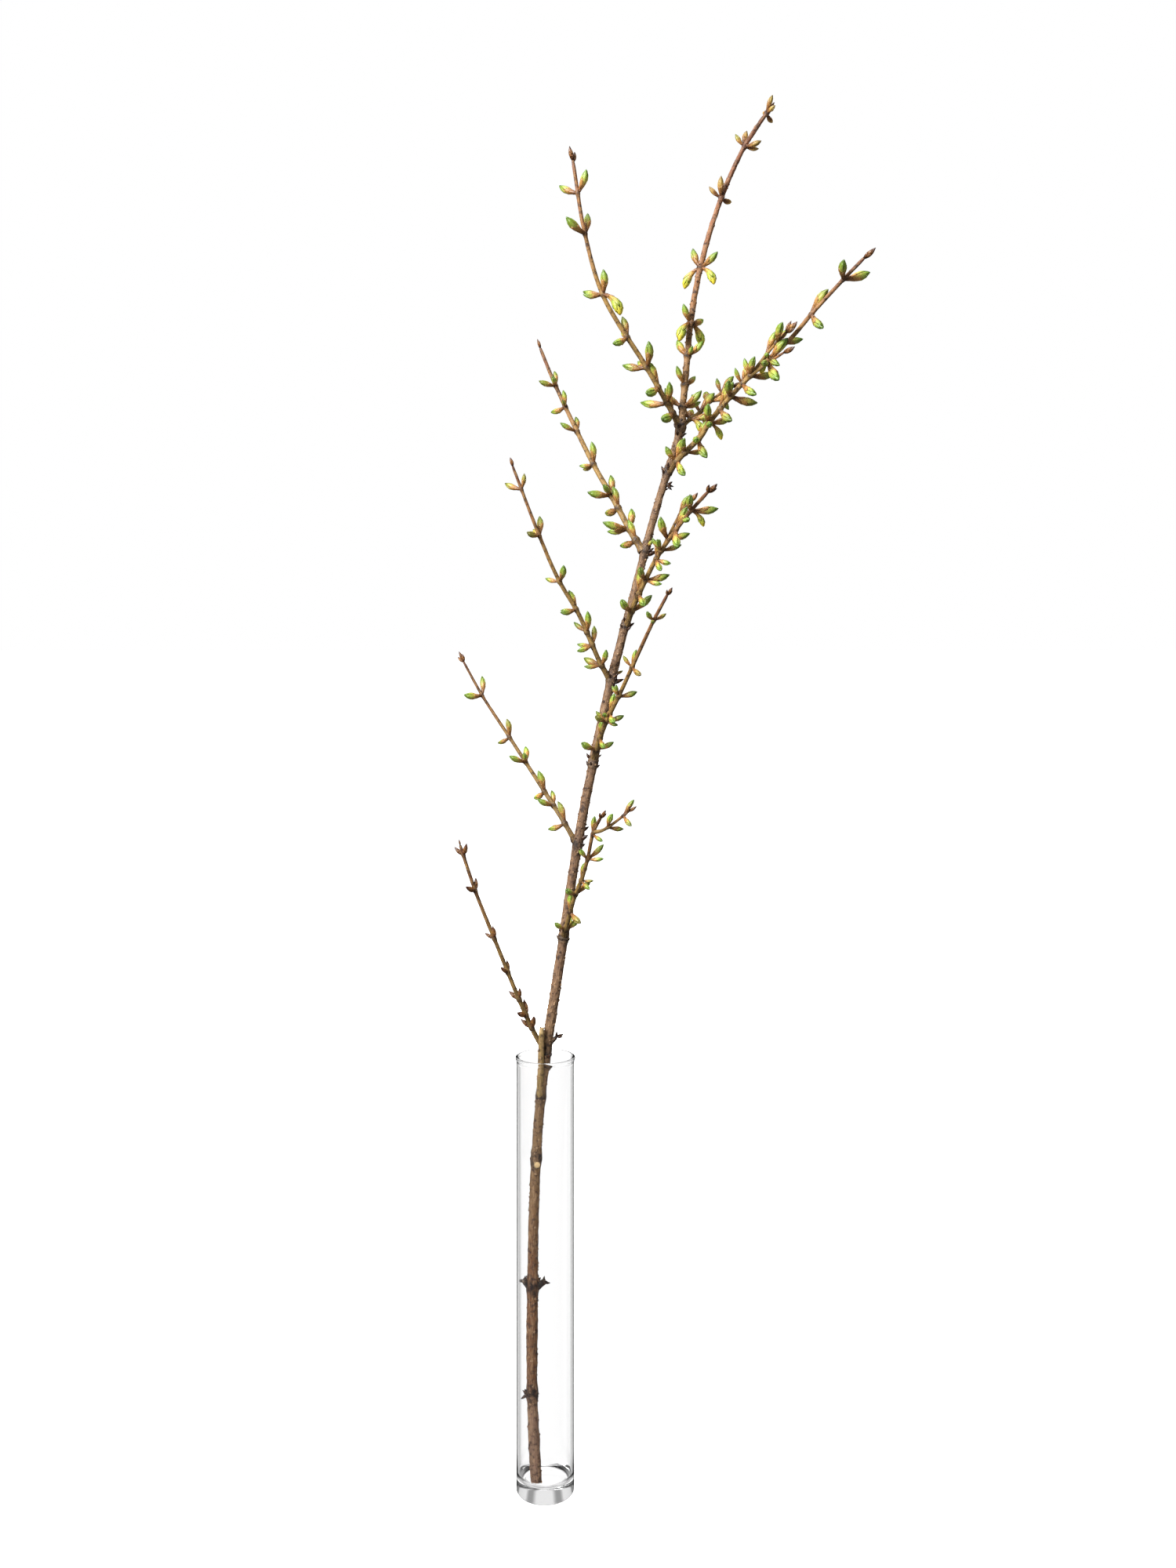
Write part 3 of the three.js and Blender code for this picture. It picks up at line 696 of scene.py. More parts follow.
def hanging_flower(seed):
    """A slim ripe bud: the furled yellow petals stand out of the green sepals."""
    random = np.random.default_rng(seed)
    maker = BudMaker(HANGING_RISE - HANGING_FALL, HANGING_SLIMNESS, FLOWER_WIDTHS)
    maker.core(PETAL)
    for i in range(4):
        reach = random.uniform(0.95, 1.0)
        maker.scale(0.4, reach, 90 * i + 20, PETAL_SPREAD, random.uniform(0.04, 0.1), PETAL)
    for i in range(4):
        turn = 45 + 90 * i + random.uniform(-8, 8)
        maker.scale(0.22, random.uniform(0.72, 0.88), turn, SEPAL_SPREAD, random.uniform(0.08, 0.14), SEPAL)
    scale_pairs(maker, (0.42, 0.32, 0.22, 0.13), 0, random)
    return maker


def leaf_bud(seed):
    """A small pointed bud covered in brown scales."""
    random = np.random.default_rng(seed)
    maker = BudMaker(LEAF_BEND, LEAF_BUD_SLIMNESS, POINTED_WIDTHS)
    maker.core(BROWN_SCALE)
    scale_pairs(maker, (0.97, 0.8, 0.6, 0.42), 0, random)
    return maker


BUD_KINDS = {"closed": 4, "hanging": 2, "leaf": 2}
BUD_MAKERS = {"closed": closed_bud, "hanging": hanging_flower, "leaf": leaf_bud}


def bud_prototypes():
    """One object for each bud shape, in a collection whose name order is the kind's number."""
    collection = bpy.data.collections.new("bud_shapes")
    bpy.context.scene.collection.children.link(collection)
    first = {}
    number = 0
    for kind, count in BUD_KINDS.items():
        first[kind] = number
        for variant in range(count):
            name = f"bud_{number:02d}_{kind}"
            shape = bpy.data.objects.new(name, BUD_MAKERS[kind](100 * number + variant).mesh(name))
            collection.objects.link(shape)
            number += 1
    return collection, first


def bud_points(name, buds, first, random):
    """One point for each bud, with its shape, turn, size and ripeness."""
    mesh = bpy.data.meshes.new(name)
    mesh.from_pydata([tuple(bud["root"] * MM) for bud in buds], [], [])
    turns = []
    sizes = []
    kinds = []
    for bud in buds:
        across = np.cross(bud["chord"], bud["bulge"])
        columns = Matrix((bud["bulge"], across, bud["chord"])).transposed()
        turns.append(columns.to_euler("XYZ"))
        plump = random.uniform(*PLUMPNESS)
        sizes.append(Vector((plump, plump, 1)) * bud["length"] * MM)
        kinds.append(first[bud["kind"]] + int(random.integers(BUD_KINDS[bud["kind"]])))
    ripe = [bud["ripe"] + random.normal(0, RIPENESS_SPREAD) for bud in buds]
    tone = random.uniform(0.0, 1.0, len(buds))
    mesh.attributes.new("bud_turn", "FLOAT_VECTOR", "POINT").data.foreach_set("vector", np.ravel(turns))
    mesh.attributes.new("bud_size", "FLOAT_VECTOR", "POINT").data.foreach_set("vector", np.ravel(sizes))
    mesh.attributes.new("bud_kind", "INT", "POINT").data.foreach_set("value", kinds)
    mesh.attributes.new("ripeness", "FLOAT", "POINT").data.foreach_set("value", ripe)
    mesh.attributes.new("tone", "FLOAT", "POINT").data.foreach_set("value", tone)
    return mesh


# Geometry node trees

def new_tree(name, inputs):
    tree = bpy.data.node_groups.new(name, "GeometryNodeTree")
    for label, kind in inputs.items():
        tree.interface.new_socket(label, in_out="INPUT", socket_type=kind)
    tree.interface.new_socket("Geometry", in_out="OUTPUT", socket_type="NodeSocketGeometry")
    entry = tree.nodes.new("NodeGroupInput")
    leave = tree.nodes.new("NodeGroupOutput")
    return tree, entry, leave


class Wiring:
    """Adds nodes to a tree and feeds their inputs with values or with other nodes' outputs."""

    def __init__(self, tree):
        self.tree = tree

    def node(self, kind, inputs=None, **settings):
        made = self.tree.nodes.new(kind)
        for name, value in settings.items():
            setattr(made, name, value)
        for key, value in (inputs or {}).items():
            self.feed(made.inputs[key], value)
        return made

    def feed(self, socket, value):
        if isinstance(value, bpy.types.NodeSocket):
            self.tree.links.new(value, socket)
        else:
            socket.default_value = value

    def attribute(self, name, data_type="FLOAT"):
        made = self.node("GeometryNodeInputNamedAttribute", {"Name": name}, data_type=data_type)
        return made.outputs["Attribute"]

    def store(self, geometry, name, value, data_type="FLOAT"):
        inputs = {"Geometry": geometry, "Name": name, "Value": value}
        made = self.node("GeometryNodeStoreNamedAttribute", inputs, data_type=data_type, domain="POINT")
        return made.outputs["Geometry"]

    def math(self, operation, first, second):
        return self.node("ShaderNodeMath", {0: first, 1: second}, operation=operation).outputs[0]

    def vector_math(self, operation, first, second):
        return self.node("ShaderNodeVectorMath", {0: first, 1: second}, operation=operation).outputs[0]

    def scaled(self, vector, factor):
        made = self.node("ShaderNodeVectorMath", {0: vector, "Scale": factor}, operation="SCALE")
        return made.outputs[0]


def bark_tree():
    """Round bark along lines: ridged, lumpy, and set with raised lenticels."""
    tree, entry, leave = new_tree("bark_along_lines", {
        "Lines": "NodeSocketGeometry", "Sides": "NodeSocketInt", "Ridge Height": "NodeSocketFloat",
        "Lenticel Density": "NodeSocketFloat", "Lenticel Radius": "NodeSocketFloat",
        "Seed": "NodeSocketInt", "Bark": "NodeSocketMaterial",
    })
    wire = Wiring(tree)
    line = wire.node("GeometryNodeMeshToCurve", {"Mesh": entry.outputs["Lines"]}).outputs["Curve"]
    inputs = {"Resolution": entry.outputs["Sides"], "Radius": 1.0}
    circle = wire.node("GeometryNodeCurvePrimitiveCircle", inputs)
    place = wire.node("GeometryNodeInputPosition").outputs["Position"]
    ring = wire.store(circle.outputs["Curve"], "ring", place, "FLOAT_VECTOR")
    girth = wire.attribute("girth")
    inputs = {"Curve": line, "Profile Curve": ring, "Scale": girth, "Fill Caps": True}
    tube = wire.node("GeometryNodeCurveToMesh", inputs).outputs["Mesh"]
    # The rod unrolled straight: across it in X and Y, along it in Z
    across = wire.scaled(wire.attribute("ring", "FLOAT_VECTOR"), girth)
    upright = wire.node("ShaderNodeCombineXYZ", {"Z": wire.attribute("along")}).outputs[0]
    straight = wire.vector_math("ADD", across, upright)
    tube = wire.store(tube, "bark_space", straight, "FLOAT_VECTOR")
    space = wire.attribute("bark_space", "FLOAT_VECTOR")
    stretched = wire.vector_math("MULTIPLY", space, (1, 1, 0.14))
    ridges = wire.node("ShaderNodeTexNoise", {"Vector": stretched, "Scale": 900.0, "Detail": 2.0})
    lumps = wire.node("ShaderNodeTexNoise", {"Vector": space, "Scale": 210.0, "Detail": 2.0})
    both = wire.math("ADD", ridges.outputs["Fac"], lumps.outputs["Fac"])
    rise = wire.math("MULTIPLY", wire.math("SUBTRACT", both, 1.0), entry.outputs["Ridge Height"])
    normal = wire.node("GeometryNodeInputNormal").outputs["Normal"]
    inputs = {"Geometry": tube, "Offset": wire.scaled(normal, rise)}
    bark = wire.node("GeometryNodeSetPosition", inputs).outputs["Geometry"]
    cloud = wire.node("ShaderNodeTexNoise", {"Vector": space, "Scale": 70.0, "Detail": 1.0})
    inputs = {"Value": cloud.outputs["Fac"], "From Min": 0.35, "From Max": 0.65}
    patch = wire.node("ShaderNodeMapRange", inputs)
    density = wire.math("MULTIPLY", patch.outputs["Result"], entry.outputs["Lenticel Density"])
    inputs = {"Mesh": bark, "Density": density, "Seed": entry.outputs["Seed"]}
    spots = wire.node("GeometryNodeDistributePointsOnFaces", inputs)
    ball = wire.node("GeometryNodeMeshUVSphere", {"Segments": 6, "Rings": 4, "Radius": 1.0}).outputs["Mesh"]
    flat = wire.node("GeometryNodeTransform", {"Geometry": ball, "Scale": (1, 1, 0.7)}).outputs["Geometry"]
    random = wire.node("FunctionNodeRandomValue", {"Seed": entry.outputs["Seed"]}, data_type="FLOAT")
    wire.feed(random.inputs[2], 0.35)
    wire.feed(random.inputs[3], 1.25)
    size = wire.math("MULTIPLY", random.outputs[1], entry.outputs["Lenticel Radius"])
    inputs = {"Points": spots.outputs["Points"], "Instance": flat, "Rotation": spots.outputs["Rotation"],
              "Scale": size}
    lenticels = wire.node("GeometryNodeInstanceOnPoints", inputs).outputs["Instances"]
    lenticels = wire.node("GeometryNodeRealizeInstances", {"Geometry": lenticels}).outputs["Geometry"]
    lenticels = wire.store(lenticels, "lenticel", 1.0)
    join = wire.node("GeometryNodeJoinGeometry")
    tree.links.new(lenticels, join.inputs["Geometry"])
    tree.links.new(bark, join.inputs["Geometry"])
    smooth = wire.node("GeometryNodeSetShadeSmooth", {"Geometry": join.outputs["Geometry"]})
    inputs = {"Geometry": smooth.outputs["Geometry"], "Material": entry.outputs["Bark"]}
    finished = wire.node("GeometryNodeSetMaterial", inputs).outputs["Geometry"]
    tree.links.new(finished, leave.inputs["Geometry"])
    return tree


def bud_tree():
    """A bud shape on every point, turned and sized by the point's values."""
    tree, entry, leave = new_tree("buds_on_twig", {
        "Points": "NodeSocketGeometry", "Bud Shapes": "NodeSocketCollection",
        "Bud Scales": "NodeSocketMaterial",
    })
    wire = Wiring(tree)
    shapes = wire.node("GeometryNodeCollectionInfo", {
        "Collection": entry.outputs["Bud Shapes"], "Separate Children": True, "Reset Children": True,
    })
    turn = wire.node("FunctionNodeEulerToRotation", {"Euler": wire.attribute("bud_turn", "FLOAT_VECTOR")})
    placed = wire.node("GeometryNodeInstanceOnPoints", {
        "Points": entry.outputs["Points"], "Instance": shapes.outputs["Instances"], "Pick Instance": True,
        "Instance Index": wire.attribute("bud_kind", "INT"), "Rotation": turn.outputs["Rotation"],
        "Scale": wire.attribute("bud_size", "FLOAT_VECTOR"),
    })
    real = wire.node("GeometryNodeRealizeInstances", {"Geometry": placed.outputs["Instances"]})
    inputs = {"Geometry": real.outputs["Geometry"], "Material": entry.outputs["Bud Scales"]}
    finished = wire.node("GeometryNodeSetMaterial", inputs)
    tree.links.new(finished.outputs["Geometry"], leave.inputs["Geometry"])
    return tree


def grown(tree, name, mesh, values):
    """What a node tree makes of a mesh, as a plain mesh object at the origin."""
    seedling = bpy.data.objects.new(name + "_start", mesh)
    bpy.context.scene.collection.objects.link(seedling)
    modifier = seedling.modifiers.new(tree.name, "NODES")
    modifier.node_group = tree
    for socket in tree.interface.items_tree:
        if socket.in_out == "INPUT" and socket.name in values:
            modifier[socket.identifier] = values[socket.name]
    depsgraph = bpy.context.evaluated_depsgraph_get()
    result = bpy.data.meshes.new_from_object(seedling.evaluated_get(depsgraph), depsgraph=depsgraph)
    result.name = name
    bpy.data.objects.remove(seedling)
    piece = bpy.data.objects.new(name, result)
    bpy.context.scene.collection.objects.link(piece)
    return piece


# Materials

def new_material(name):
    material = bpy.data.materials.new(name)
    material.use_nodes = True
    wire = Wiring(material.node_tree)
    shader = material.node_tree.nodes["Principled BSDF"]
    return material, wire, shader


def shade_attribute(wire, name):
    return wire.node("ShaderNodeAttribute", attribute_name=name, attribute_type="GEOMETRY")


def colour_ramp(wire, share, stops):
    ramp = wire.node("ShaderNodeValToRGB", {"Fac": share})
    elements = ramp.color_ramp.elements
    while len(elements) < len(stops):
        elements.new(1.0)
    for element, (position, colour) in zip(elements, stops):
        element.position = position
        element.color = (*colour, 1)
    return ramp.outputs["Color"]


def colour_mix(wire, share, first, second, blend="MIX"):
    made = wire.node("ShaderNodeMix", data_type="RGBA", blend_type=blend, clamp_factor=True)
    wire.feed(made.inputs[0], share)
    wire.feed(made.inputs[6], first if isinstance(first, bpy.types.NodeSocket) else (*first, 1))
    wire.feed(made.inputs[7], second if isinstance(second, bpy.types.NodeSocket) else (*second, 1))
    return made.outputs[2]


def fitted(wire, value, low, high):
    """A share from 0 to 1 as the value goes from low to high."""
    made = wire.node("ShaderNodeMapRange", {"Value": value, "From Min": low, "From Max": high}, clamp=True)
    return made.outputs["Result"]


OLIVE_BARK = (0.17, 0.115, 0.028)
CUT_WOOD = (0.5, 0.35, 0.17)


def bark_material(name, along_colours, knot_colour, lenticel_colour, dark, pale, rough):
    """Bark with streaks along the wood, blotches, dark nodes, lenticels and pale cuts."""
    material, wire, shader = new_material(name)
    space = shade_attribute(wire, "bark_space").outputs["Vector"]
    age = shade_attribute(wire, "age").outputs["Fac"]
    tone = shade_attribute(wire, "tone").outputs["Fac"]
    olive = shade_attribute(wire, "olive").outputs["Fac"]
    knot = shade_attribute(wire, "knot").outputs["Fac"]
    lenticel = shade_attribute(wire, "lenticel").outputs["Fac"]
    cut = shade_attribute(wire, "cut").outputs["Fac"]
    stretched = wire.vector_math("MULTIPLY", space, (1, 1, 0.1))
    inputs = {"Vector": stretched, "Scale": 1500.0, "Detail": 4.0}
    streaks = wire.node("ShaderNodeTexNoise", inputs).outputs["Fac"]
    inputs = {"Vector": space, "Scale": 300.0, "Detail": 6.0, "Roughness": 0.7}
    blotches = wire.node("ShaderNodeTexNoise", inputs).outputs["Fac"]
    level = wire.node("ShaderNodeCombineColor", {0: tone, 1: tone, 2: tone}).outputs[0]
    colour = colour_mix(wire, 1.0, colour_ramp(wire, age, along_colours), level, "MULTIPLY")
    colour = colour_mix(wire, wire.math("MULTIPLY", olive, 0.8), colour, OLIVE_BARK)
    colour = colour_mix(wire, wire.math("MULTIPLY", fitted(wire, streaks, 0.46, 0.68), 0.8), colour, pale)
    colour = colour_mix(wire, fitted(wire, blotches, 0.49, 0.64), colour, dark)
    speckle = wire.math("MULTIPLY", knot, fitted(wire, blotches, 0.25, 0.6))
    colour = colour_mix(wire, speckle, colour, knot_colour)
    wart = colour_mix(wire, fitted(wire, streaks, 0.42, 0.6), lenticel_colour, pale)
    colour = colour_mix(wire, wire.math("MULTIPLY", lenticel, 0.7), colour, wart)
    ragged = wire.math("MULTIPLY", cut, fitted(wire, streaks, 0.2, 0.45))
    colour = colour_mix(wire, ragged, colour, CUT_WOOD)
    wire.feed(shader.inputs["Base Color"], colour)
    wire.feed(shader.inputs["Roughness"], wire.math("ADD", wire.math("MULTIPLY", blotches, 0.3), rough))
    shader.inputs["Specular IOR Level"].default_value = 0.4
    grain = wire.math("ADD", streaks, blotches)
    bump = wire.node("ShaderNodeBump", {"Height": grain, "Strength": 0.7, "Distance": 0.0005})
    wire.feed(shader.inputs["Normal"], bump.outputs["Normal"])
    return material


def stem_bark():
    along_colours = [
        (0.0, (0.15, 0.085, 0.055)), (0.05, (0.14, 0.078, 0.047)), (0.07, (0.1, 0.035, 0.008)),
        (0.14, (0.105, 0.039, 0.01)), (0.2, (0.14, 0.075, 0.028)), (0.28, (0.14, 0.08, 0.034)),
        (0.36, (0.125, 0.064, 0.033)), (0.74, (0.14, 0.074, 0.032)), (0.765, (0.2, 0.105, 0.03)),
        (0.85, (0.2, 0.083, 0.026)), (0.91, (0.18, 0.06, 0.02)), (1.0, (0.1, 0.033, 0.015)),
    ]
    return bark_material("stem_bark", along_colours, (0.013, 0.007, 0.005), (0.03, 0.012, 0.008),
                         (0.03, 0.014, 0.008), (0.28, 0.17, 0.09), 0.5)


def twig_bark():
    along_colours = [
        (0.0, (0.08, 0.043, 0.018)), (0.12, (0.19, 0.12, 0.034)), (0.5, (0.24, 0.14, 0.038)),
        (0.8, (0.2, 0.083, 0.03)), (1.0, (0.11, 0.036, 0.02)),
    ]
    return bark_material("twig_bark", along_colours, (0.03, 0.013, 0.008), (0.27, 0.16, 0.08),
                         (0.045, 0.021, 0.009), (0.34, 0.2, 0.06), 0.42)


def bud_scales():
    """Waxy bud scales: tan, green sepals, yellow petals, each scale darkened at its rims, partly its own
    darker margin and partly painted shade where it curves under its neighbour.
    """
    material, wire, shader = new_material("bud_scales")
    along = shade_attribute(wire, "bud_along").outputs["Fac"]
    rim = shade_attribute(wire, "rim").outputs["Fac"]
    layer = shade_attribute(wire, "layer").outputs["Fac"]
    ripe = shade_attribute(wire, "ripeness").outputs["Fac"]
    tone = shade_attribute(wire, "tone").outputs["Fac"]
    place = wire.node("ShaderNodeTexCoord").outputs["Object"]
    inputs = {"Vector": place, "Scale": 1300.0, "Detail": 4.0}
    mottle = wire.node("ShaderNodeTexNoise", inputs).outputs["Fac"]
    brown = colour_ramp(wire, along, [
        (0.0, (0.07, 0.027, 0.012)), (0.15, (0.16, 0.065, 0.022)), (0.35, (0.32, 0.15, 0.042)),
        (0.55, (0.38, 0.2, 0.052)), (0.8, (0.17, 0.075, 0.03)), (1.0, (0.07, 0.028, 0.015)),
    ])
    dark_bud = colour_mix(wire, 1.0, brown, (0.5, 0.42, 0.42), "MULTIPLY")
    brown = colour_mix(wire, fitted(wire, ripe, 0.3, 0.1), brown, dark_bud)
    withered = colour_mix(wire, 1.0, brown, (0.25, 0.2, 0.2), "MULTIPLY")
    brown = colour_mix(wire, fitted(wire, ripe, -0.3, -0.7), brown, withered)
    green = colour_ramp(wire, along, [
        (0.32, (0.42, 0.24, 0.055)), (0.5, (0.4, 0.32, 0.06)), (0.66, (0.31, 0.36, 0.055)),
        (0.82, (0.18, 0.29, 0.032)), (1.0, (0.06, 0.12, 0.016)),
    ])
    dull = colour_ramp(wire, along, [
        (0.3, (0.4, 0.2, 0.055)), (0.75, (0.34, 0.22, 0.055)), (1.0, (0.13, 0.08, 0.025)),
    ])
    green = colour_mix(wire, fitted(wire, ripe, 0.15, 0.7), dull, green)
    yellow = colour_ramp(wire, along, [
        (0.5, (0.26, 0.36, 0.05)), (0.75, (0.38, 0.44, 0.05)), (1.0, (0.68, 0.5, 0.03)),
    ])
    colour = colour_mix(wire, fitted(wire, layer, 0.4, 0.6), brown, green)
    colour = colour_mix(wire, fitted(wire, layer, 1.4, 1.6), colour, yellow)
    # Scale rims are darkened: partly the scales' own darker margins, partly painted shade where each scale
    # curves away under the next
    rim_margin_and_shade = wire.math("MULTIPLY", fitted(wire, rim, 0.5, 1.0), 0.6)
    darker = colour_mix(wire, 1.0, colour, (0.35, 0.24, 0.16), "MULTIPLY")
    colour = colour_mix(wire, rim_margin_and_shade, colour, darker)
    speck = wire.math("MULTIPLY", fitted(wire, mottle, 0.5, 0.66), 0.65)
    colour = colour_mix(wire, speck, colour, darker)
    inputs = {"Value": tone, "To Min": 0.78, "To Max": 1.12}
    shade = wire.node("ShaderNodeMapRange", inputs).outputs["Result"]
    bright = wire.node("ShaderNodeCombineColor", {0: shade, 1: shade, 2: shade}).outputs[0]
    colour = colour_mix(wire, 1.0, colour, bright, "MULTIPLY")
    wire.feed(shader.inputs["Base Color"], colour)
    shader.inputs["Roughness"].default_value = 0.42
    shader.inputs["Specular IOR Level"].default_value = 0.45
    bump = wire.node("ShaderNodeBump", {"Height": mottle, "Strength": 0.35, "Distance": 0.0003})
    wire.feed(shader.inputs["Normal"], bump.outputs["Normal"])
    return material


def clear_glass():
    material, wire, shader = new_material("clear_glass")
    shader.inputs["Base Color"].default_value = (1, 1, 1, 1)
    shader.inputs["Roughness"].default_value = 0.0
    shader.inputs["IOR"].default_value = 1.48
    shader.inputs["Transmission Weight"].default_value = 1.0
    return material


def floor_paint():
    material, wire, shader = new_material("floor_paint")
    place = wire.node("ShaderNodeTexCoord").outputs["Object"]
    cloud = wire.node("ShaderNodeTexNoise", {"Vector": place, "Scale": 3.0}).outputs["Fac"]
    wire.feed(shader.inputs["Base Color"], colour_mix(wire, cloud, (0.93, 0.93, 0.93), (0.95, 0.95, 0.95)))
    shader.inputs["Roughness"].default_value = 0.9
    shader.inputs["Emission Color"].default_value = (1, 1, 1, 1)
    shader.inputs["Emission Strength"].default_value = 0.8
    return material


# Pieces

def arc(centre, radius, start, end):
    angles = np.radians(np.linspace(start, end, VASE_ARC_STEPS + 1))
    return [(centre[0] + radius * math.cos(a), centre[1] + radius * math.sin(a)) for a in angles]


def vase_outline():
    """Section from the middle of the foot, up the outside, over the lip and down to the inner floor."""
    inner = VASE_RADIUS - VASE_WALL
    lip_half = VASE_LIP_SWEEP / 2
    shoulder = VASE_HEIGHT - 4 * VASE_LIP_ROUND
    outline = arc((VASE_RADIUS - VASE_FOOT_ROUND, VASE_FOOT_ROUND), VASE_FOOT_ROUND, -90, 0)
    outline += [(VASE_RADIUS, height) for height in np.linspace(VASE_FOOT_ROUND, shoulder, 20)[1:]]
    lip = (VASE_LIP_CENTRE, VASE_HEIGHT - VASE_LIP_ROUND)
    outline += arc(lip, VASE_LIP_ROUND, 90 - lip_half, 90 + lip_half)
    floor_corner = (inner - VASE_INNER_ROUND, VASE_FLOOR + VASE_INNER_ROUND)
    outline += [(inner, height) for height in np.linspace(shoulder, floor_corner[1], 20)[:-1]]
    outline += arc(floor_corner, VASE_INNER_ROUND, 0, -90)
    return outline


def vase_piece(glass):
    outline = vase_outline()
    turns = np.arange(VASE_SIDES) * 2 * math.pi / VASE_SIDES
    vertices = [(r * math.cos(t) * MM, r * math.sin(t) * MM, z * MM) for r, z in outline for t in turns]
    faces = []
    for row in range(len(outline) - 1):
        for i in range(VASE_SIDES):
            j = (i + 1) % VASE_SIDES
            low = row * VASE_SIDES
            high = low + VASE_SIDES
            faces.append((low + i, low + j, high + j, high + i))
    foot = len(vertices)
    vertices.append((0, 0, 0))
    vertices.append((0, 0, VASE_FLOOR * MM))
    top = (len(outline) - 1) * VASE_SIDES
    for i in range(VASE_SIDES):
        j = (i + 1) % VASE_SIDES
        faces.append((foot, j, i))
        faces.append((foot + 1, top + i, top + j))
    mesh = bpy.data.meshes.new("vase_glass")
    mesh.from_pydata(vertices, [], faces)
    mesh.shade_smooth()
    mesh.materials.append(glass)
    piece = bpy.data.objects.new("vase_glass", mesh)
    bpy.context.scene.collection.objects.link(piece)
    return piece


def settle(piece, node):
    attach(piece, "root")
    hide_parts(node)


def growths_of(twig):
    """The twig, then its branchlets with the twig's own habit."""
    sides = [{**twig, "girth": BRANCHLET_GIRTH, **branchlet} for branchlet in twig.get("branchlets", ())]
    return [(growth, Centreline(growth["axis"])) for growth in [twig, *sides]]


def make_branch():
    bark_nodes = bark_tree()
    bud_nodes = bud_tree()
    shapes, first = bud_prototypes()
    scales = bud_scales()
    looks = np.random.default_rng(LOOKS_SEED)

    def bark_piece(node, rods, form, seed, material):
        sides, ridge, density, radius = form
        values = {"Sides": sides, "Ridge Height": ridge * MM, "Lenticel Density": density,
                  "Lenticel Radius": radius * MM, "Seed": seed, "Bark": material}
        piece = grown(bark_nodes, node + "_bark", lines_mesh(node + "_lines", rods), values)
        settle(piece, node)

    def bud_piece(node, buds, withered=()):
        points = bud_points(node + "_points", [*kept_buds(buds, node), *withered], first, looks)
        piece = grown(bud_nodes, node + "_buds", points, {"Bud Shapes": shapes, "Bud Scales": scales})
        settle(piece, node)

    line = Centreline(STEM_AXIS)
    leader_start = line.distance_at_height(LEADER["start"])
    rods = [stem_rod(line, leader_start)] + [stub_rod(*stub) for stub in STEM_STUBS]
    bark_piece("main_stem", rods, STEM_BARK_FORM, STEM_SEED, stem_bark())
    buds = []
    for height, turn, length, ripe in STEM_BUDS:
        root, along, out = line.spot(line.distance_at_height(height), turn)
        kind = "closed" if ripe > 0 else "leaf"
        buds.append(rising_bud(root, along, out, length, lean_of(out, 0, 1), kind, ripe))
    buds += paired_buds(line, LEADER, leader_start, seeded_random(LEADER_SEED))
    buds += tip_buds(line, LEADER)
    bud_piece("main_stem", buds, withered_scales(line, np.random.default_rng(WITHERED_SEED)))

    material = twig_bark()
    for order, (node, twig) in enumerate(TWIGS.items()):
        random = seeded_random(TWIG_SEED_STEP * (order + 1))
        rods = []
        buds = []
        for growth, line in growths_of(twig):
            rods.append(twig_rod(line, growth))
            buds += paired_buds(line, growth, 0, random)
            buds += tip_buds(line, growth)
        bark_piece(node, rods, TWIG_BARK_FORM, order, material)
        bud_piece(node, buds)
    for shape in list(shapes.objects):
        bpy.data.objects.remove(shape)
    bpy.data.collections.remove(shapes)


def make_camera():
    data = bpy.data.cameras.new("photo_camera")
    data.sensor_width = SENSOR
    data.lens = SENSOR * FOCAL_PX / PHOTO_HEIGHT_PX
    data.shift_y = (HORIZON_PX - PHOTO_HEIGHT_PX / 2) / PHOTO_HEIGHT_PX
    camera = bpy.data.objects.new("photo_camera", data)
    camera.location = Vector(CAMERA_PLACE) * MM
    camera.rotation_euler = (math.pi / 2, 0, 0)
    bpy.context.scene.collection.objects.link(camera)
    bpy.context.scene.camera = camera


def softbox(name, place, target, size, power):
    data = bpy.data.lights.new(name, "AREA")
    data.size = size
    data.energy = power
    light = bpy.data.objects.new(name, data)
    light.location = place
    light.rotation_euler = (Vector(target) - Vector(place)).to_track_quat("-Z", "Y").to_euler()
    bpy.context.scene.collection.objects.link(light)
    return light


def make_floor():
    mesh = bpy.data.meshes.new("floor")
    corners = [(-1, -1), (1, -1), (1, 1), (-1, 1)]
    vertices = [(x * FLOOR_REACH, y * FLOOR_REACH, -FLOOR_GAP) for x, y in corners]
    mesh.from_pydata(vertices, [], [(0, 1, 2, 3)])
    mesh.materials.append(floor_paint())
    floor = bpy.data.objects.new("floor", mesh)
    bpy.context.scene.collection.objects.link(floor)
    # The glass looks out into the studio's bands, not at the floor's even white
    floor.visible_glossy = False
    floor.visible_transmission = False
    floor.visible_diffuse = False


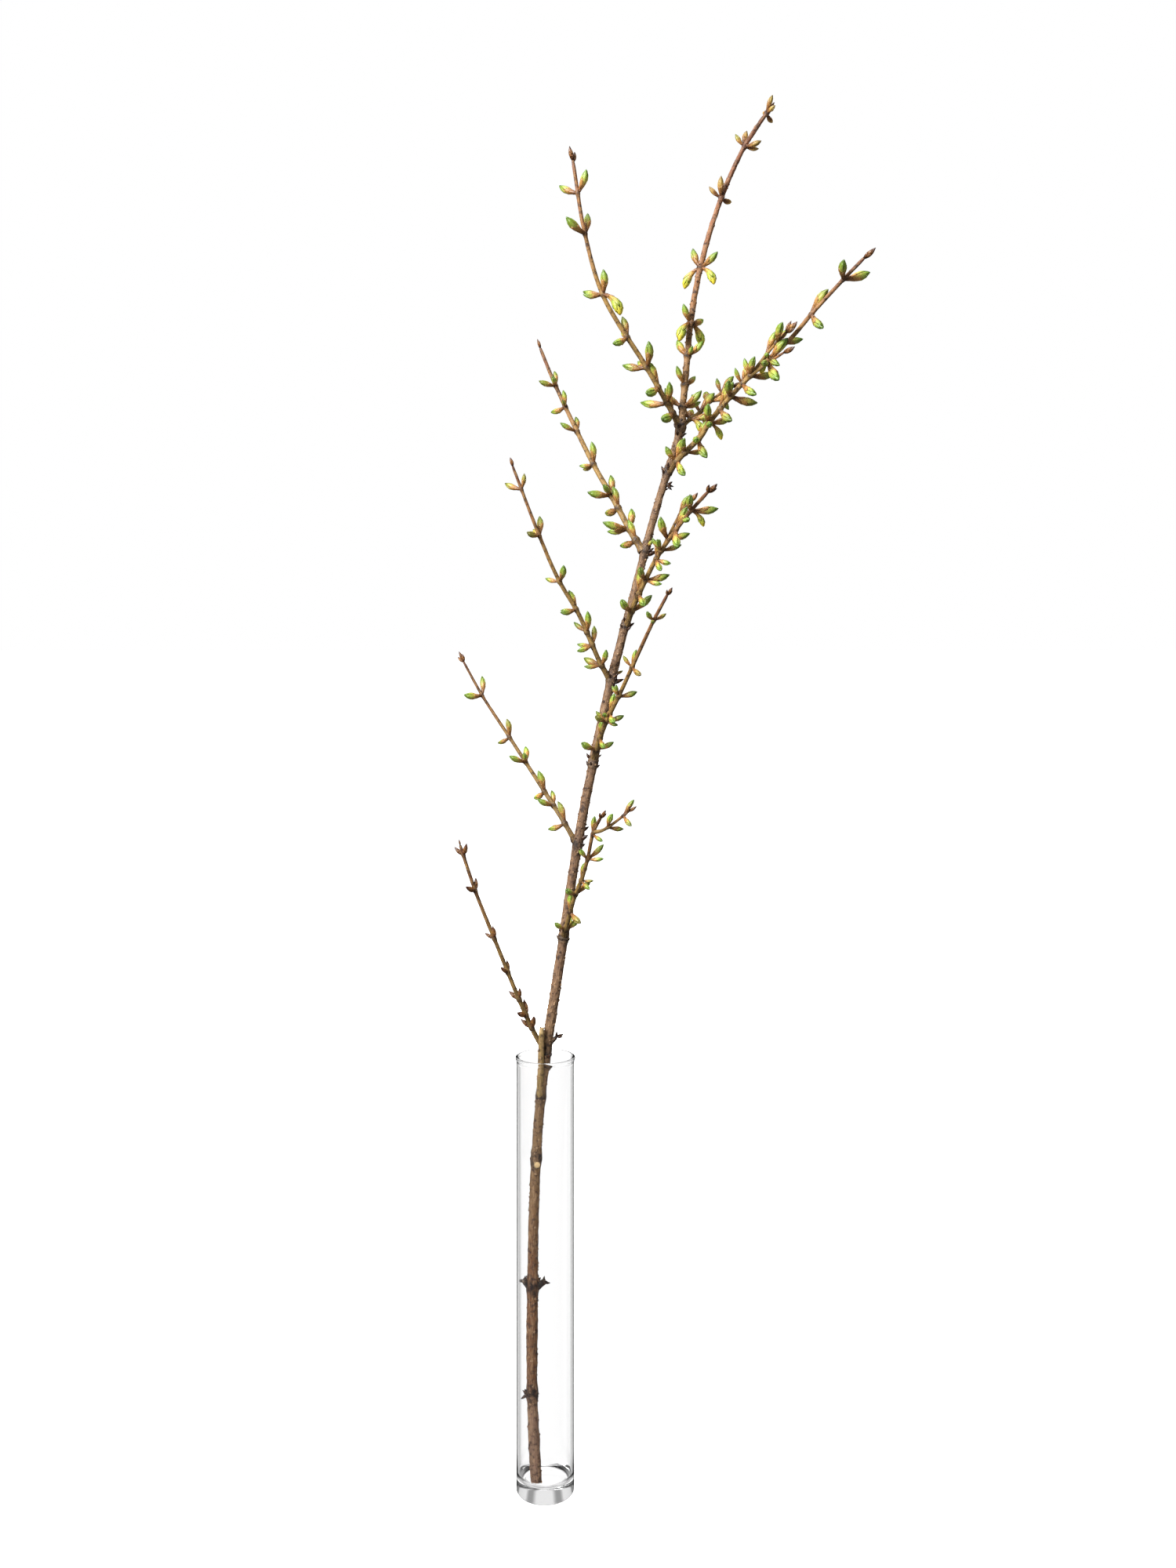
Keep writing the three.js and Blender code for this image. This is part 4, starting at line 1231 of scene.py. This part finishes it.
def make_studio():
    """Even white light all round, with soft grey bands that only the glass picks up at its edges."""
    softbox("key_softbox", *KEY_SOFTBOX)
    softbox("top_softbox", *TOP_SOFTBOX)
    # A fill from behind that lights the wood and buds but leaves no patch in the glass
    fill = softbox("back_softbox", *BACK_SOFTBOX)
    fill.visible_camera = False
    fill.visible_glossy = False
    fill.visible_transmission = False
    world = bpy.data.worlds.new("white_studio")
    world.use_nodes = True
    bpy.context.scene.world = world
    wire = Wiring(world.node_tree)
    background = world.node_tree.nodes["Background"]
    direction = wire.node("ShaderNodeTexCoord").outputs["Generated"]
    parts = wire.node("ShaderNodeSeparateXYZ", {0: direction}).outputs
    round_angle = wire.math("ARCTAN2", parts["Y"], parts["X"])
    turns = wire.math("MULTIPLY", round_angle, STUDIO_BANDS)
    wave = wire.node("ShaderNodeMath", {0: turns}, operation="COSINE").outputs[0]
    bands = colour_ramp(wire, fitted(wire, wave, -1, 1), [(0.05, STUDIO_GREY), (0.45, STUDIO_BACK)])
    rays = wire.node("ShaderNodeLightPath").outputs
    # Mirrored rays find the dark side of the room, and light that comes through the glass has a bright side
    inside = colour_mix(wire, 1.0, bands, STUDIO_INSIDE, "MULTIPLY")
    inside = colour_mix(wire, fitted(wire, parts["Y"], -0.3, 0.3), STUDIO_DARK, inside)
    bounced = colour_mix(wire, rays["Is Transmission Ray"], STUDIO_DARK, inside)
    mirrored = colour_mix(wire, rays["Glossy Depth"], bands, bounced)
    towards = wire.node("ShaderNodeVectorMath", {0: direction, 1: KEY_DIRECTION}, operation="DOT_PRODUCT")
    through = colour_ramp(wire, towards.outputs["Value"], [(0.0, STUDIO_LIGHT), (0.9, KEY_LIGHT)])
    diffuse = colour_mix(wire, rays["Is Transmission Ray"], STUDIO_LIGHT, through)
    even = colour_mix(wire, rays["Diffuse Depth"], mirrored, diffuse)
    wire.feed(background.inputs["Color"], colour_mix(wire, rays["Is Camera Ray"], even, STUDIO_WHITE))
    bpy.context.scene.view_settings.view_transform = "Standard"


make_camera()
make_floor()
make_studio()
settle(vase_piece(clear_glass()), "vase")
make_branch()
